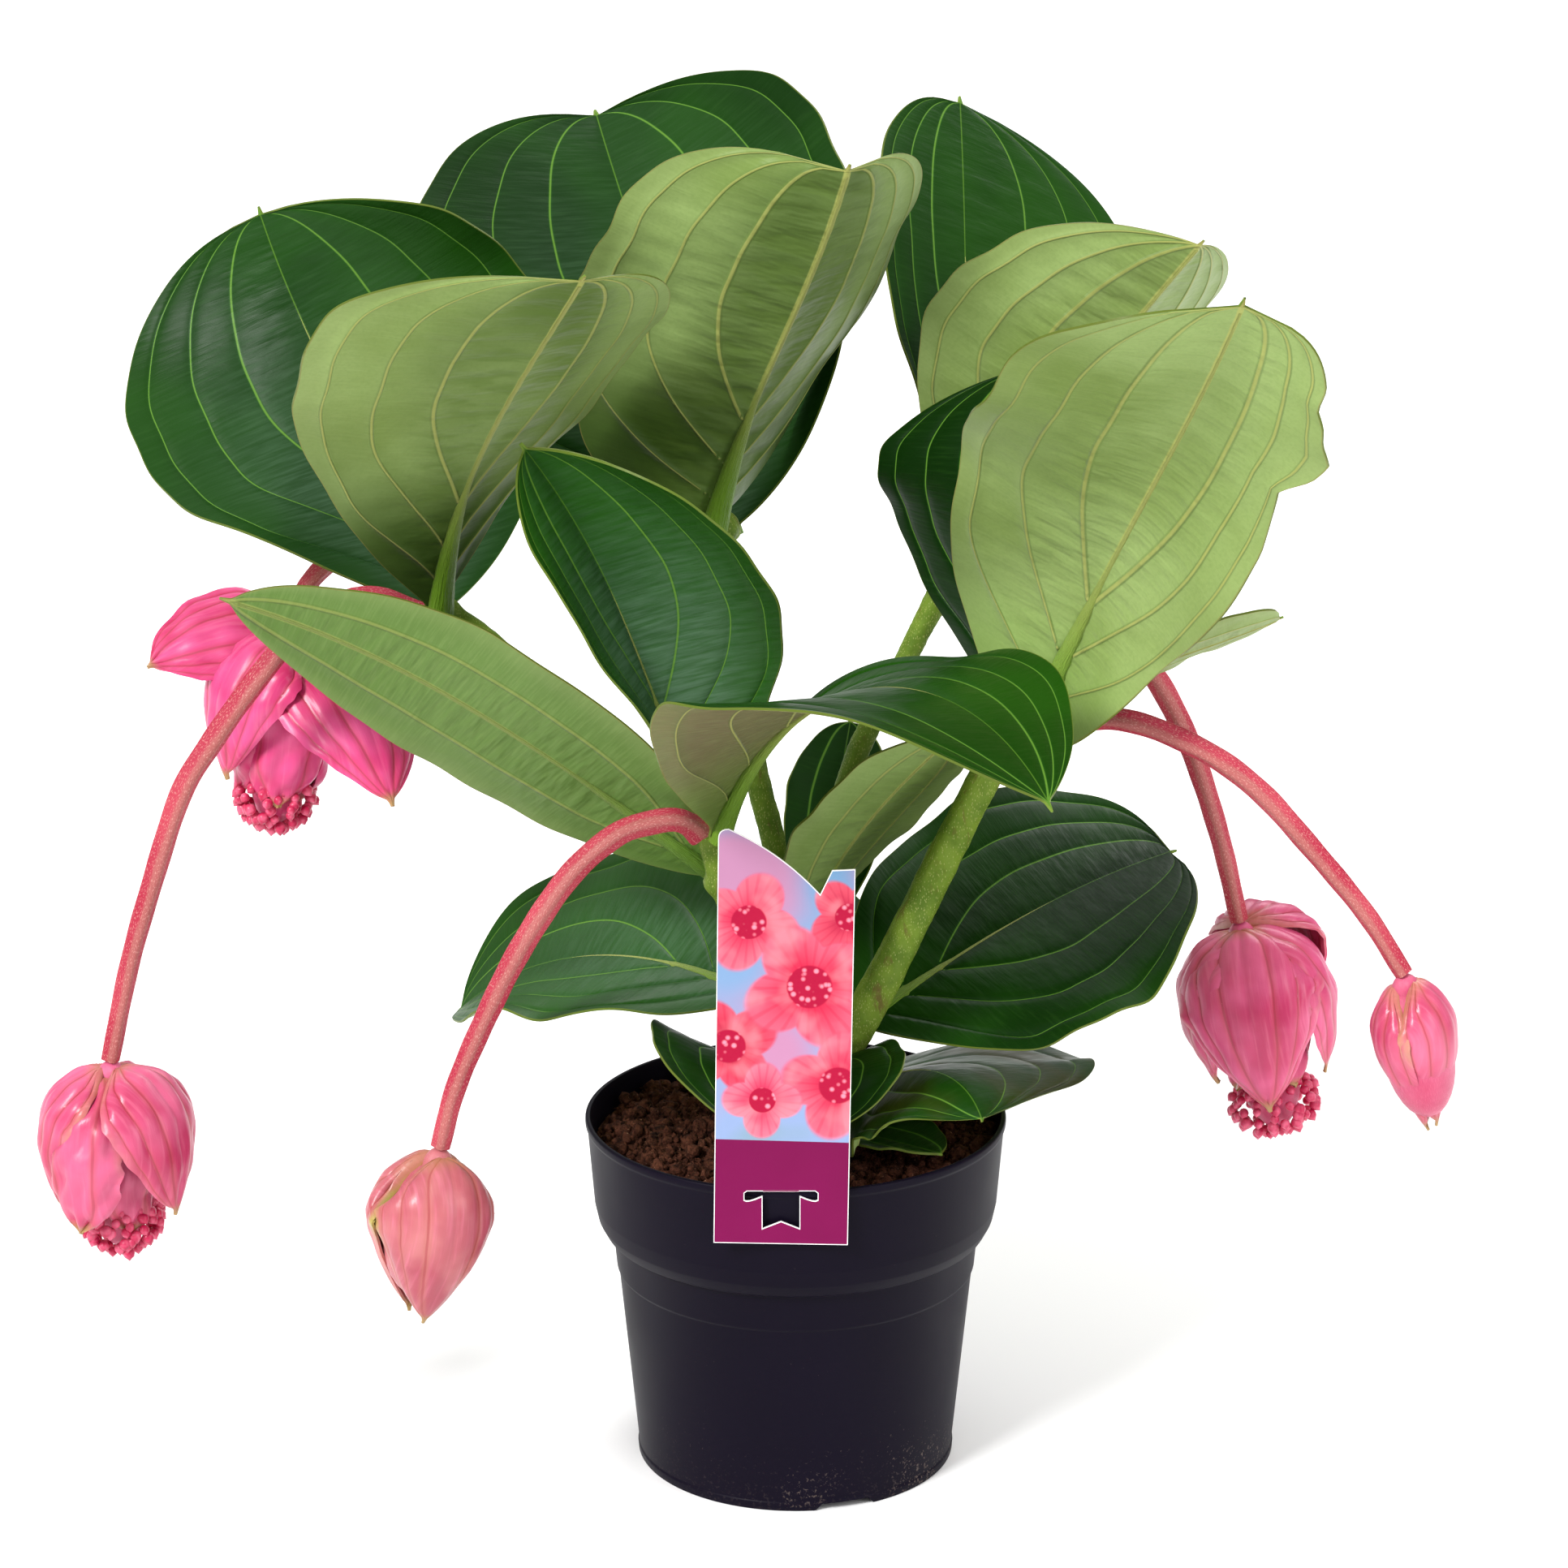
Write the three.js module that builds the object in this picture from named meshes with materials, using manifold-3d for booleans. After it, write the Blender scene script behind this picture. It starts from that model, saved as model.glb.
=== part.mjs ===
// A medinilla in its nursery pot: a leafy, woody plant with hanging pink flower heads, the peat that it
// grows in, the black pot, and the card that hangs on the pot's rim.
//
// Millimetres, +Z up. The origin is the centre of the pot's foot, on the surface that it stands on, and
// the front, where the card hangs, faces -Y. Angles are in degrees. A heading is an angle about Z from +X,
// and a rise is an angle above the horizontal.

import * as THREE from 'three';
import { mergeVertices } from 'three/addons/utils/BufferGeometryUtils.js';
import Module from 'manifold-3d';

const wasm = await Module();
wasm.setup();

// ---------------------------------------------------------------- driving dimensions

const GAP = 0.3; // between a piece and the one that it rests on or grows from

const POT = {
  height: 146,
  rimRadius: 85,
  footRadius: 65,
  wall: 2,
  bandTop: 142,
  bandBottom: 110,
  bandRadius: 81.6,
  shoulderBottom: 97,
  shoulderRadius: 74.2,
  ledgeHeight: 82,
  ledgeStep: 0.7,
  floorBottom: 3,
  floorTop: 5.5,
  padRadius: 22,
  footRingInner: 60,
  sides: 32,
};
const FOOT_NOTCH = { count: 3, heading: -72, mouth: 25, top: 19, height: 3 };
const DRAIN_HOLE = { count: 6, radius: 5, ring: 41, sides: 10 };

const SOIL = { edgeHeight: 134, moundHeight: 5, lump: 1.6 };

// The woody stem: the trunk, then each branch from the trunk to its tip. Each point is [x, y, z, radius].
const BRANCHES = {
  trunk: [[0, -7, 112, 9], [0, -9, 145, 9], [0, -12, 182, 8.5]],
  left: [[0, -12, 178, 6.5], [-12, -7, 226, 6], [-32, 0, 254, 5.5], [-58, 2, 280, 5], [-90, 0, 313, 5],
    [-119, -6, 343, 5], [-137, -11, 357, 6]],
  top: [[0, -12, 174, 6], [-3, -3, 215, 5.5], [-8, 6, 254, 5], [-16, 14, 286, 5], [-26, 24, 346, 5],
    [-31, 29, 380, 6]],
  topSide: [[-31, 29, 380, 5.5], [-30, 45, 377, 5.5], [-28, 60, 373, 5.5]],
  rear: [[-1, -11, 168, 6], [1, 2, 196, 5.5], [5, 10, 224, 5], [23, 20, 287, 4.5], [37, 28, 313, 4.5],
    [53, 34, 345, 4.5], [67, 38, 369, 6]],
  right: [[2, -12, 155, 8], [12, -22, 171, 7.5], [24, -27, 192, 7.5], [40, -26, 224, 7], [57, -24, 260, 7],
    [74, -22, 295, 6.5], [87, -20, 320, 7]],
  middle: [[-1, -12, 168, 6], [-9, -24, 203, 5.5], [-20, -32, 231, 5], [-29, -38, 256, 5],
    [-34, -42, 283, 6]],
};
const STEM_SIDES = 7;
const BRANCH_STEP = 34; // length of stem between two rings

// Swollen nodes where leaves sit: [x, y, z, radius].
const NODES = [
  [-138, -11, 357, 8.5], [-31, 27, 382, 9], [-28, 59, 373, 6.5], [68, 39, 371, 8.5],
  [88, -23, 319, 10], [-34, -43, 283, 8.5], [-29, -37, 256, 7.5], [3, 8, 216, 7.5], [22, -26, 190, 9],
  [-9, -26, 205, 7.5], [0, -10, 162, 10.5],
];

// The blades. foot is where the midrib starts, in its node. The heading turns by swing from foot to tip.
// rise and roll go from their first value at the foot to their second at the tip, and bow lifts the middle.
// size is length and greatest width, and swell shapes the outline: a small first value rounds the foot and
// a small second value rounds the tip. fold and curl lift the left and the right half.
const LEAVES = {
  leaf_left_back: { foot: [-139, -6, 356], heading: 128, swing: 17, rise: [54, 69], bow: -10,
    roll: [14, -72], size: [182, 172], swell: [0.74, 0.48], fold: [-4, 13], curl: [7, 17],
    ripple: 2, lopsided: -0.05 },
  leaf_left_front: { foot: [-139, -18, 360], heading: -45, swing: -11, rise: [80, 45], bow: -11,
    roll: [1, -4], size: [182, 152], swell: [0.96, 0.41], fold: [2, 4], curl: [13, 12],
    ripple: 2, lopsided: -0.21 },
  leaf_top_back: { foot: [-27, 64, 372], heading: 128, swing: -23, rise: [64, 33], bow: 0,
    roll: [-30, -3], size: [207, 203], swell: [0.69, 0.55], fold: [7, 22], curl: [19, 33], ripple: 2 },
  leaf_top_front: { foot: [-33, 18, 387], heading: -38, swing: -23, rise: [72, 62], bow: -9,
    roll: [-11, -4], size: [174, 150], swell: [0.36, 0.3], fold: [14, 20], curl: [24, 27],
    ripple: 3, lopsided: -0.09 },
  leaf_rear_back: { foot: [68, 47, 371], heading: 88, swing: 4, rise: [73, 44], bow: -2,
    roll: [30, 17], size: [198, 140], swell: [0.97, 0.46], fold: [8, -17], curl: [16, -2],
    ripple: 2, lopsided: -0.36 },
  leaf_rear_front: { foot: [68, 33, 374], heading: -5, swing: -29, rise: [58, 49], bow: 0,
    roll: [-36, -16], size: [160, 158], swell: [0.9, 0.74], fold: [9, 29], curl: [16, 26],
    ripple: 2, lopsided: 0.11 },
  leaf_right_front: { foot: [92, -30, 315], heading: -54, swing: -25, rise: [63, 44], bow: -4,
    roll: [-71, 4], size: [259, 123], swell: [0.42, 0.27], fold: [-27, -1], curl: [-9, 7],
    ripple: 6, lopsided: -0.19 },
  leaf_right_back: { foot: [80, -20, 320], heading: 65, swing: 5, rise: [86, 18], bow: 39,
    roll: [-29, -17], size: [148, 124], swell: [0.94, 0.56], fold: [-5, -25], curl: [6, -8], ripple: 2,
    lopsided: 0.06 },
  leaf_right_low: { foot: [94, -20, 320], heading: -1, swing: 7, rise: [28, 21], bow: -5,
    roll: [-22, -13], size: [103, 59], swell: [0.68, 0.26], fold: [-9, 8], curl: [4, 17], ripple: 1 },
  leaf_middle_back: { foot: [-38, -36, 283], heading: 176, swing: 14, rise: [71, 53], bow: 6,
    roll: [-20, -79], size: [165, 108], swell: [0.88, 0.57], fold: [15, 53], curl: [26, 42],
    ripple: 2, lopsided: -0.37 },
  leaf_middle_arched: { foot: [-31, -52, 281], heading: -30, swing: -34, rise: [71, -36], bow: -3,
    roll: [10, -10], size: [226, 155], swell: [1.05, 0.92], fold: [0, 1], curl: [12, 10],
    ripple: 4, lopsided: -0.3 },
  leaf_long_left: { foot: [-30, -29, 257], heading: 193, swing: -8, rise: [38, 17], bow: 7,
    roll: [41, 73], size: [228, 79], swell: [0.55, 0.72], fold: [-3, -3], curl: [7, 10], ripple: 1 },
  leaf_inner_light: { foot: [2, 5, 218], heading: -26, swing: -2, rise: [72, 44], bow: -5,
    roll: [-2, -19], size: [119, 76], swell: [0.71, 0.61], fold: [-6, 4], curl: [6, 12], ripple: 1 },
  leaf_inner_dark: { foot: [8, 13, 217], heading: 79, swing: -7, rise: [52, 57], bow: -5,
    roll: [12, -3], size: [96, 46], swell: [0.72, 0.52], fold: [15, 10], curl: [24, 18], ripple: 1,
    lopsided: -0.06 },
  leaf_low_right: { foot: [25, -23, 192], heading: 32, swing: -21, rise: [25, 14], bow: 4,
    roll: [20, -4], size: [152, 182], swell: [0.79, 0.39], fold: [7, 0], curl: [15, 9],
    ripple: 3, lopsided: -0.17 },
  leaf_low_left: { foot: [-15, -29, 205], heading: 146, swing: 22, rise: [17, -46], bow: 6,
    roll: [-14, -5], size: [146, 137], swell: [0.72, 0.59], fold: [2, 8], curl: [11, 16], ripple: 3 },
  leaf_low_front: { foot: [-1, -19, 163], heading: -95, swing: 5, rise: [62, -62], bow: -2,
    roll: [6, -8], size: [74, 106], swell: [0.8, 0.7], fold: [5, 8], curl: [19, 22], ripple: 1,
    lopsided: -0.1 },
  leaf_low_back: { foot: [-2, -3, 168], heading: 96, swing: 10, rise: [34, -18], bow: 4,
    roll: [4, -6], size: [128, 94], swell: [0.66, 0.55], fold: [10, 10], curl: [18, 18], ripple: 2 },
  leaf_rim_right: { foot: [11, -17, 157], heading: -12, swing: -42, rise: [27, -64], bow: 35,
    roll: [8, -3], size: [86, 174], swell: [0.48, 0.61], fold: [-16, -16], curl: [-1, 0], ripple: 3,
    lopsided: 0.44 },
  leaf_rim_under: { foot: [7, -13, 148], heading: -28, swing: -12, rise: [-6, 0], bow: 2,
    roll: [-6, -4], size: [62, 44], swell: [0.7, 0.6], fold: [4, 4], curl: [10, 10], ripple: 1 },
};
const BLADE = {
  thickness: 0.9,
  ribDepth: 2.2, // how far the midrib stands out of the underside, at the foot
  stub: 4, // half width of the blade where it leaves its node
  tip: { length: 0.05, half: 2.6 }, // the drip tip, its length as a share of the blade's
  ripples: 2.5, // waves along each margin
  stations: [0, 0.08, 0.22, 0.4, 0.58, 0.75, 0.88, 0.96, 1],
  across: [-1, -0.6, -0.28, 0, 0.28, 0.6, 1],
  slimAcross: [-1, -0.5, 0, 0.5, 1], // on a leaf less than slimWidth wide
  slimWidth: 80,
};

// Flower stalks: points of the centre line, from the node to where it turns down to its flower head.
const STALKS = {
  stalk_left_front: [[-141, -15, 355], [-151, -18, 361], [-161, -22, 366], [-173, -27, 366],
    [-186, -32, 359], [-197, -36, 350], [-212, -43, 332], [-225, -48, 314], [-236, -52, 296],
    [-248, -55, 261], [-258, -56, 228]],
  stalk_left_back: [[-134, -6, 350], [-141, 6, 353], [-153, 18, 363], [-168, 25, 372], [-182, 28, 369],
    [-193, 27, 359]],
  stalk_middle: [[-38, -50, 281], [-45, -59, 288], [-55, -62, 288], [-69, -66, 284], [-87, -72, 269],
    [-106, -78, 241], [-121, -82, 211], [-131, -84, 187]],
  stalk_right_back: [[90, -15, 318], [99, 0, 325], [111, 12, 332], [125, 19, 333], [139, 24, 326],
    [150, 27, 309], [161, 29, 284], [172, 30, 250]],
  stalk_right_front: [[90, -22, 313], [101, -25, 315], [113, -31, 320], [126, -39, 322], [141, -45, 319],
    [161, -50, 310], [178, -52, 297], [193, -54, 281], [219, -56, 250]],
};
const STALK = { radius: 4.2, neck: 3.4, corner: 0.14, sides: 8, step: 17 };

// Flower heads. top is where the stalk ends and foot is the lowest point of the axis. A bract is a blade
// too: it starts on the knob and turns its hollow side to the axis. depth is how far below the top it starts.
const BLOOMS = {
  bloom_left_front: { top: [-267, -56, 189], foot: [-265, -56, 108], color: 0xe8698f,
    outer: [
      { heading: -26, rise: [8, -110], bow: -26, size: [82, 66], curl: -56 },
      { heading: 188, rise: [4, -119], bow: -20, size: [80, 54], curl: -62 },
      { heading: 84, rise: [-2, -120], bow: -16, size: [80, 62], curl: -56, depth: 1 },
    ],
    inner: [
      { heading: -120, rise: [-6, -112], bow: -16, size: [82, 46], curl: -68, depth: 3 },
      { heading: -66, rise: [-46, -106], bow: -8, size: [71, 36], curl: -62, depth: 7 },
      { heading: 60, rise: [-40, -114], bow: -10, size: [73, 46], curl: -74, depth: 8 },
    ],
    core: { radius: 13, from: 8, to: 78 }, beads: 8 },
  bloom_left_back: { top: [-200, 24, 344], foot: [-209, 14, 262], color: 0xf0608f,
    outer: [
      { heading: 196, rise: [4, -42], bow: -2, size: [59, 46], curl: -34, roll: -52 },
      { heading: -40, rise: [-18, -70], bow: 0, size: [91, 64], curl: -44, roll: 22 },
      { heading: 84, rise: [-6, -84], bow: -4, size: [68, 50], curl: -44 },
      { heading: -142, rise: [4, -122], bow: -18, size: [80, 70], curl: -60, depth: 1 },
    ],
    inner: [
      { heading: -78, rise: [-34, -114], bow: -9, size: [76, 48], curl: -74, depth: 7 },
      { heading: 58, rise: [-36, -114], bow: -9, size: [77, 50], curl: -74, depth: 9 },
      { heading: 178, rise: [-34, -114], bow: -9, size: [76, 50], curl: -74, depth: 7 },
    ],
    core: { radius: 13, from: 8, to: 82 }, beads: 10 },
  bud_middle: { top: [-137, -85, 164], foot: [-148, -85, 93], color: 0xe5909c,
    outer: [
      { heading: -62, rise: [-8, -122], bow: -32, size: [85, 76], curl: -88 },
      { heading: 118, rise: [-8, -122], bow: -32, size: [85, 84], curl: -92, depth: 1 },
    ],
    inner: [],
    core: { radius: 18, from: 6, to: 62 }, beads: 0 },
  bloom_right_back: { top: [180, 30, 217], foot: [199, 27, 128], color: 0xe55f8b,
    outer: [
      { heading: -98, rise: [-4, -120], bow: -22, size: [93, 74], curl: -64 },
      { heading: 60, rise: [40, -126], bow: -40, size: [98, 62], curl: -58 },
      { heading: -8, rise: [4, -120], bow: -22, size: [87, 60], curl: -60, depth: 1.5 },
      { heading: 186, rise: [6, -120], bow: -24, size: [82, 60], curl: -60, depth: 1.5 },
    ],
    inner: [
      { heading: -46, rise: [-40, -108], bow: -10, size: [79, 52], curl: -68, depth: 6 },
      { heading: 74, rise: [-42, -108], bow: -9, size: [80, 50], curl: -68, depth: 8 },
      { heading: 194, rise: [-40, -108], bow: -10, size: [77, 52], curl: -68, depth: 6 },
    ],
    core: { radius: 15, from: 8, to: 90 }, beads: 10 },
  bud_right_front: { top: [235, -57, 225], foot: [250, -57, 156], color: 0xe87890,
    outer: [
      { heading: 160, rise: [-22, -112], bow: -36, size: [78, 62], curl: -94, depth: 1 },
      { heading: -20, rise: [-22, -112], bow: -36, size: [77, 62], curl: -94 },
    ],
    inner: [],
    core: { radius: 14, from: 4, to: 60 }, beads: 0 },
};
const BRACT = {
  thickness: 1.1,
  outerSwell: [0.42, 0.75],
  innerSwell: [0.6, 0.38], // rounder at the tip
  stub: 2.5,
  root: 3, // how far from the flower head's axis a bract starts
  drop: 2, // and how far below the stalk
  tip: { length: 0.08, half: 2 },
  stations: [0, 0.18, 0.42, 0.7, 0.88, 1],
  across: [-1, -0.45, 0.45, 1],
};
const CALYX = { radius: 6, length: 8 }; // the fleshy knob that the bracts grow from
const BEAD = { radius: 3.2, stand: 1.2 };

// The card: its outline in the card's own plane, x to the right and z up from the pot's foot.
const CARD = {
  thickness: 0.8,
  left: -32,
  right: 20,
  bottom: 124,
  topLeft: 293,
  topRight: 277,
  notch: [9, 267],
  lean: 2.5, // sideways lean of the whole card
  corner: 4,
};
// The flap punched out of the card. Its wings lie on the rim, and it hangs by drop inside the pot.
const CARD_FLAP = { left: -13, right: 1.3, wing: 7, wingHeight: 4.5, top: 146.4, length: 15.5, drop: 8,
  swallow: 3 };

const FINISH = {
  pot: { color: 0x17171c, roughness: 0.45, metalness: 0 },
  soil: { color: 0x3d2417, roughness: 1, metalness: 0 },
  stem: { color: 0x6d7d33, roughness: 0.7, metalness: 0 },
  leafDark: { color: 0x1f5a24, roughness: 0.35, metalness: 0 },
  leafLight: { color: 0x8fb35a, roughness: 0.55, metalness: 0 },
  stalk: { color: 0xd9717a, roughness: 0.6, metalness: 0 },
  card: { color: 0xa81f66, roughness: 0.3, metalness: 0 },
};
const LIGHT_LEAVES = ['leaf_left_front', 'leaf_top_front', 'leaf_rear_front', 'leaf_right_front',
  'leaf_right_low', 'leaf_long_left', 'leaf_inner_light', 'leaf_rim_under'];

// ---------------------------------------------------------------- solids

const rad = THREE.MathUtils.degToRad;
const mix = THREE.MathUtils.lerp;
const vec = (point) => new THREE.Vector3(point[0], point[1], point[2]);

// A closed mesh as a solid: shared corners are merged, and faces that the merge flattened are dropped.
function solidOf(geometry) {
  const bare = new THREE.BufferGeometry();
  bare.setAttribute('position', geometry.getAttribute('position'));
  if (geometry.index) bare.setIndex(geometry.index);
  const merged = mergeVertices(bare, 1e-4);
  const corners = merged.index.array;
  const faces = [];
  for (let i = 0; i < corners.length; i += 3) {
    const [a, b, c] = corners.slice(i, i + 3);
    if (a !== b && b !== c && c !== a) faces.push(a, b, c);
  }
  return new wasm.Manifold(new wasm.Mesh({
    numProp: 3,
    vertProperties: new Float32Array(merged.getAttribute('position').array),
    triVerts: new Uint32Array(faces),
  }));
}

function geometryOf(solid) {
  const { vertProperties, triVerts, numProp } = solid.getMesh();
  const places = new Float32Array((vertProperties.length / numProp) * 3);
  for (let i = 0; i < places.length / 3; i += 1) {
    for (let k = 0; k < 3; k += 1) places[i * 3 + k] = vertProperties[i * numProp + k];
  }
  const geometry = new THREE.BufferGeometry();
  geometry.setAttribute('position', new THREE.BufferAttribute(places, 3));
  geometry.setIndex(new THREE.BufferAttribute(new Uint32Array(triVerts), 1));
  return geometry;
}

const joined = (solids) => solids.reduce((whole, one) => whole.add(one));
const cut = (solid, tools) => tools.reduce((rest, tool) => rest.subtract(tool), solid);
// The largest body of a solid, without the scraps that a cut can leave.
function mainBody(solid) {
  const bodies = solid.decompose();
  return bodies.reduce((best, body) => (body.volume() > best.volume() ? body : best));
}

// The skin between closed rings of corners. From the ring's place otherWay on, each four-sided face is
// split along its other diagonal.
function meshFrom(rings, otherWay = Infinity) {
  const around = rings[0].length;
  const positions = rings.flat().flatMap((p) => [p.x, p.y, p.z]);
  const faces = [];
  for (let i = 0; i < rings.length - 1; i += 1) {
    for (let j = 0; j < around; j += 1) {
      const a = i * around + j;
      const b = i * around + ((j + 1) % around);
      if (j < otherWay) faces.push(a, b, b + around, a, b + around, a + around);
      else faces.push(a, b, a + around, b, b + around, a + around);
    }
  }
  return { positions, faces, around };
}

// A tapered tube: a ring of corners at each step of a smooth line through the points, with flat ends.
// corner stands the four edges of a square stem out of its round section.
function tube(points, radii, sides, steps, corner = 0) {
  const line = new THREE.CatmullRomCurve3(points.map(vec), false, 'centripetal');
  const frames = line.computeFrenetFrames(steps, false);
  const rings = [];
  for (let i = 0; i <= steps; i += 1) {
    const share = i / steps;
    const place = line.getPointAt(share);
    const along = share * (radii.length - 1);
    const k = Math.min(Math.floor(along), radii.length - 2);
    const radius = mix(radii[k], radii[k + 1], along - k);
    const ring = [];
    for (let j = 0; j < sides; j += 1) {
      const angle = (j / sides) * Math.PI * 2;
      const reach = radius * (1 + corner * Math.cos(4 * angle));
      ring.push(place.clone()
        .addScaledVector(frames.normals[i], reach * Math.cos(angle))
        .addScaledVector(frames.binormals[i], reach * Math.sin(angle)));
    }
    rings.push(ring);
  }
  const { positions, faces, around } = meshFrom(rings);
  const last = steps * around;
  for (let j = 1; j < around - 1; j += 1) {
    faces.push(0, j + 1, j, last, last + j, last + j + 1);
  }
  return solidFromFaces(positions, faces);
}

function solidFromFaces(positions, faces) {
  const geometry = new THREE.BufferGeometry();
  geometry.setAttribute('position', new THREE.Float32BufferAttribute(positions, 3));
  geometry.setIndex(faces);
  return solidOf(geometry);
}

function ball(place, radius, columns = 7, rows = 5) {
  return solidOf(new THREE.SphereGeometry(radius, columns, rows).translate(...place));
}

// A profile of [radius, height] points turned about the Z axis.
function turned(profile, sides) {
  const points = profile.map(([radius, height]) => new THREE.Vector2(radius, height));
  return new THREE.LatheGeometry(points, sides).rotateX(Math.PI / 2);
}

// ---------------------------------------------------------------- blades: leaves and bracts

// The half width of a blade at a share of its length: a swelling outline, a stub at the foot, a drip tip.
function halfWidth(share, [, width], [rounding, ending], stub, tip) {
  const body = Math.min(share / (1 - tip.length * 0.4), 1);
  const widest = rounding / (rounding + ending);
  const peak = widest ** rounding * (1 - widest) ** ending;
  const swelling = (width / 2) * (body ** rounding * (1 - body) ** ending) / peak;
  const foot = share < 0.08 ? stub : 0;
  const point = tip.half * Math.min(1, (1 - share) / tip.length) + 0.4;
  return Math.max(swelling, foot, point);
}

// The midrib's place and its directions (along, left, up) at each station.
function midrib(shape, stations) {
  const { foot, heading, swing, rise, bow, roll, size: [length] } = shape;
  const directions = (share) => {
    const turn = rad(heading + swing * share);
    const climb = rad(mix(rise[0], rise[1], share) + bow * Math.sin(Math.PI * share));
    const tilt = rad(mix(roll[0], roll[1], share));
    const along = new THREE.Vector3(
      Math.cos(turn) * Math.cos(climb), Math.sin(turn) * Math.cos(climb), Math.sin(climb));
    const level = new THREE.Vector3(-Math.sin(turn), Math.cos(turn), 0);
    const square = along.clone().cross(level);
    const left = level.clone().multiplyScalar(Math.cos(tilt)).addScaledVector(square, Math.sin(tilt));
    return { along, left, up: along.clone().cross(left) };
  };
  const slices = 96;
  const places = [vec(foot)];
  for (let i = 0; i < slices; i += 1) {
    const step = directions((i + 0.5) / slices).along.multiplyScalar(length / slices);
    places.push(places[i].clone().add(step));
  }
  return stations.map((share) => ({ place: places[Math.round(share * slices)], ...directions(share) }));
}

// One half's cross-section is an arc that starts at the fold angle and turns by the curl.
function bladePoint(frame, half, side, shape, share) {
  const hand = side < 0 ? 1 : 0;
  const reach = half * Math.abs(side) * (1 + (hand ? -1 : 1) * (shape.lopsided ?? 0));
  const start = rad(shape.fold[hand]);
  const turn = rad(shape.curl[hand]) * Math.abs(side) || 1e-4;
  const across = (reach * (Math.sin(start + turn) - Math.sin(start))) / turn;
  const ripple = shape.ripple * Math.abs(side) ** 3 * Math.sin(Math.PI * share)
    * Math.sin(2 * Math.PI * (BLADE.ripples * share + (hand ? 0.15 : 0.6)));
  const lift = (reach * (Math.cos(start) - Math.cos(start + turn))) / turn + ripple;
  return frame.place.clone()
    .addScaledVector(frame.left, across * (hand ? -1 : 1))
    .addScaledVector(frame.up, lift);
}

// A closed blade: two faces split into triangles alike, a thickness apart, joined round the edge.
// The middle of the underside stands out as the midrib.
function blade(shape, form) {
  const acrossShares = shape.size[1] < form.slimWidth ? form.slimAcross : form.across;
  const frames = midrib(shape, form.stations);
  const rows = form.stations.map((share, i) => {
    const half = halfWidth(share, shape.size, shape.swell, form.stub, form.tip);
    return acrossShares.map((side) => bladePoint(frames[i], half, side, shape, share));
  });
  const upper = [];
  const lower = [];
  const last = rows.length - 1;
  const edge = acrossShares.length - 1;
  rows.forEach((row, i) => {
    const before = rows[Math.max(i - 1, 0)];
    const after = rows[Math.min(i + 1, last)];
    const ribShare = 1 - form.stations[i];
    upper.push([]);
    lower.push([]);
    row.forEach((point, j) => {
      const along = after[j].clone().sub(before[j]);
      const over = row[Math.min(j + 1, edge)].clone().sub(row[Math.max(j - 1, 0)]);
      const out = along.cross(over).normalize().multiplyScalar(form.thickness / 2);
      const depth = acrossShares[j] === 0 ? 1 + (2 * (form.ribDepth ?? 0) * ribShare) / form.thickness : 1;
      upper[i].push(point.clone().add(out));
      lower[i].push(point.clone().addScaledVector(out, -depth));
    });
  });
  const rings = lower.map((row, i) => [...row, ...upper[i].slice().reverse()]);
  const { positions, faces, around } = meshFrom(rings, acrossShares.length);
  for (let j = 0; j < edge; j += 1) {
    const under = around - 1 - j;
    faces.push(j, under, under - 1, j, under - 1, j + 1);
    const far = last * around;
    faces.push(far + j, far + under - 1, far + under, far + j, far + j + 1, far + under - 1);
  }
  return solidFromFaces(positions, faces);
}

// ---------------------------------------------------------------- the pieces

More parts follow.
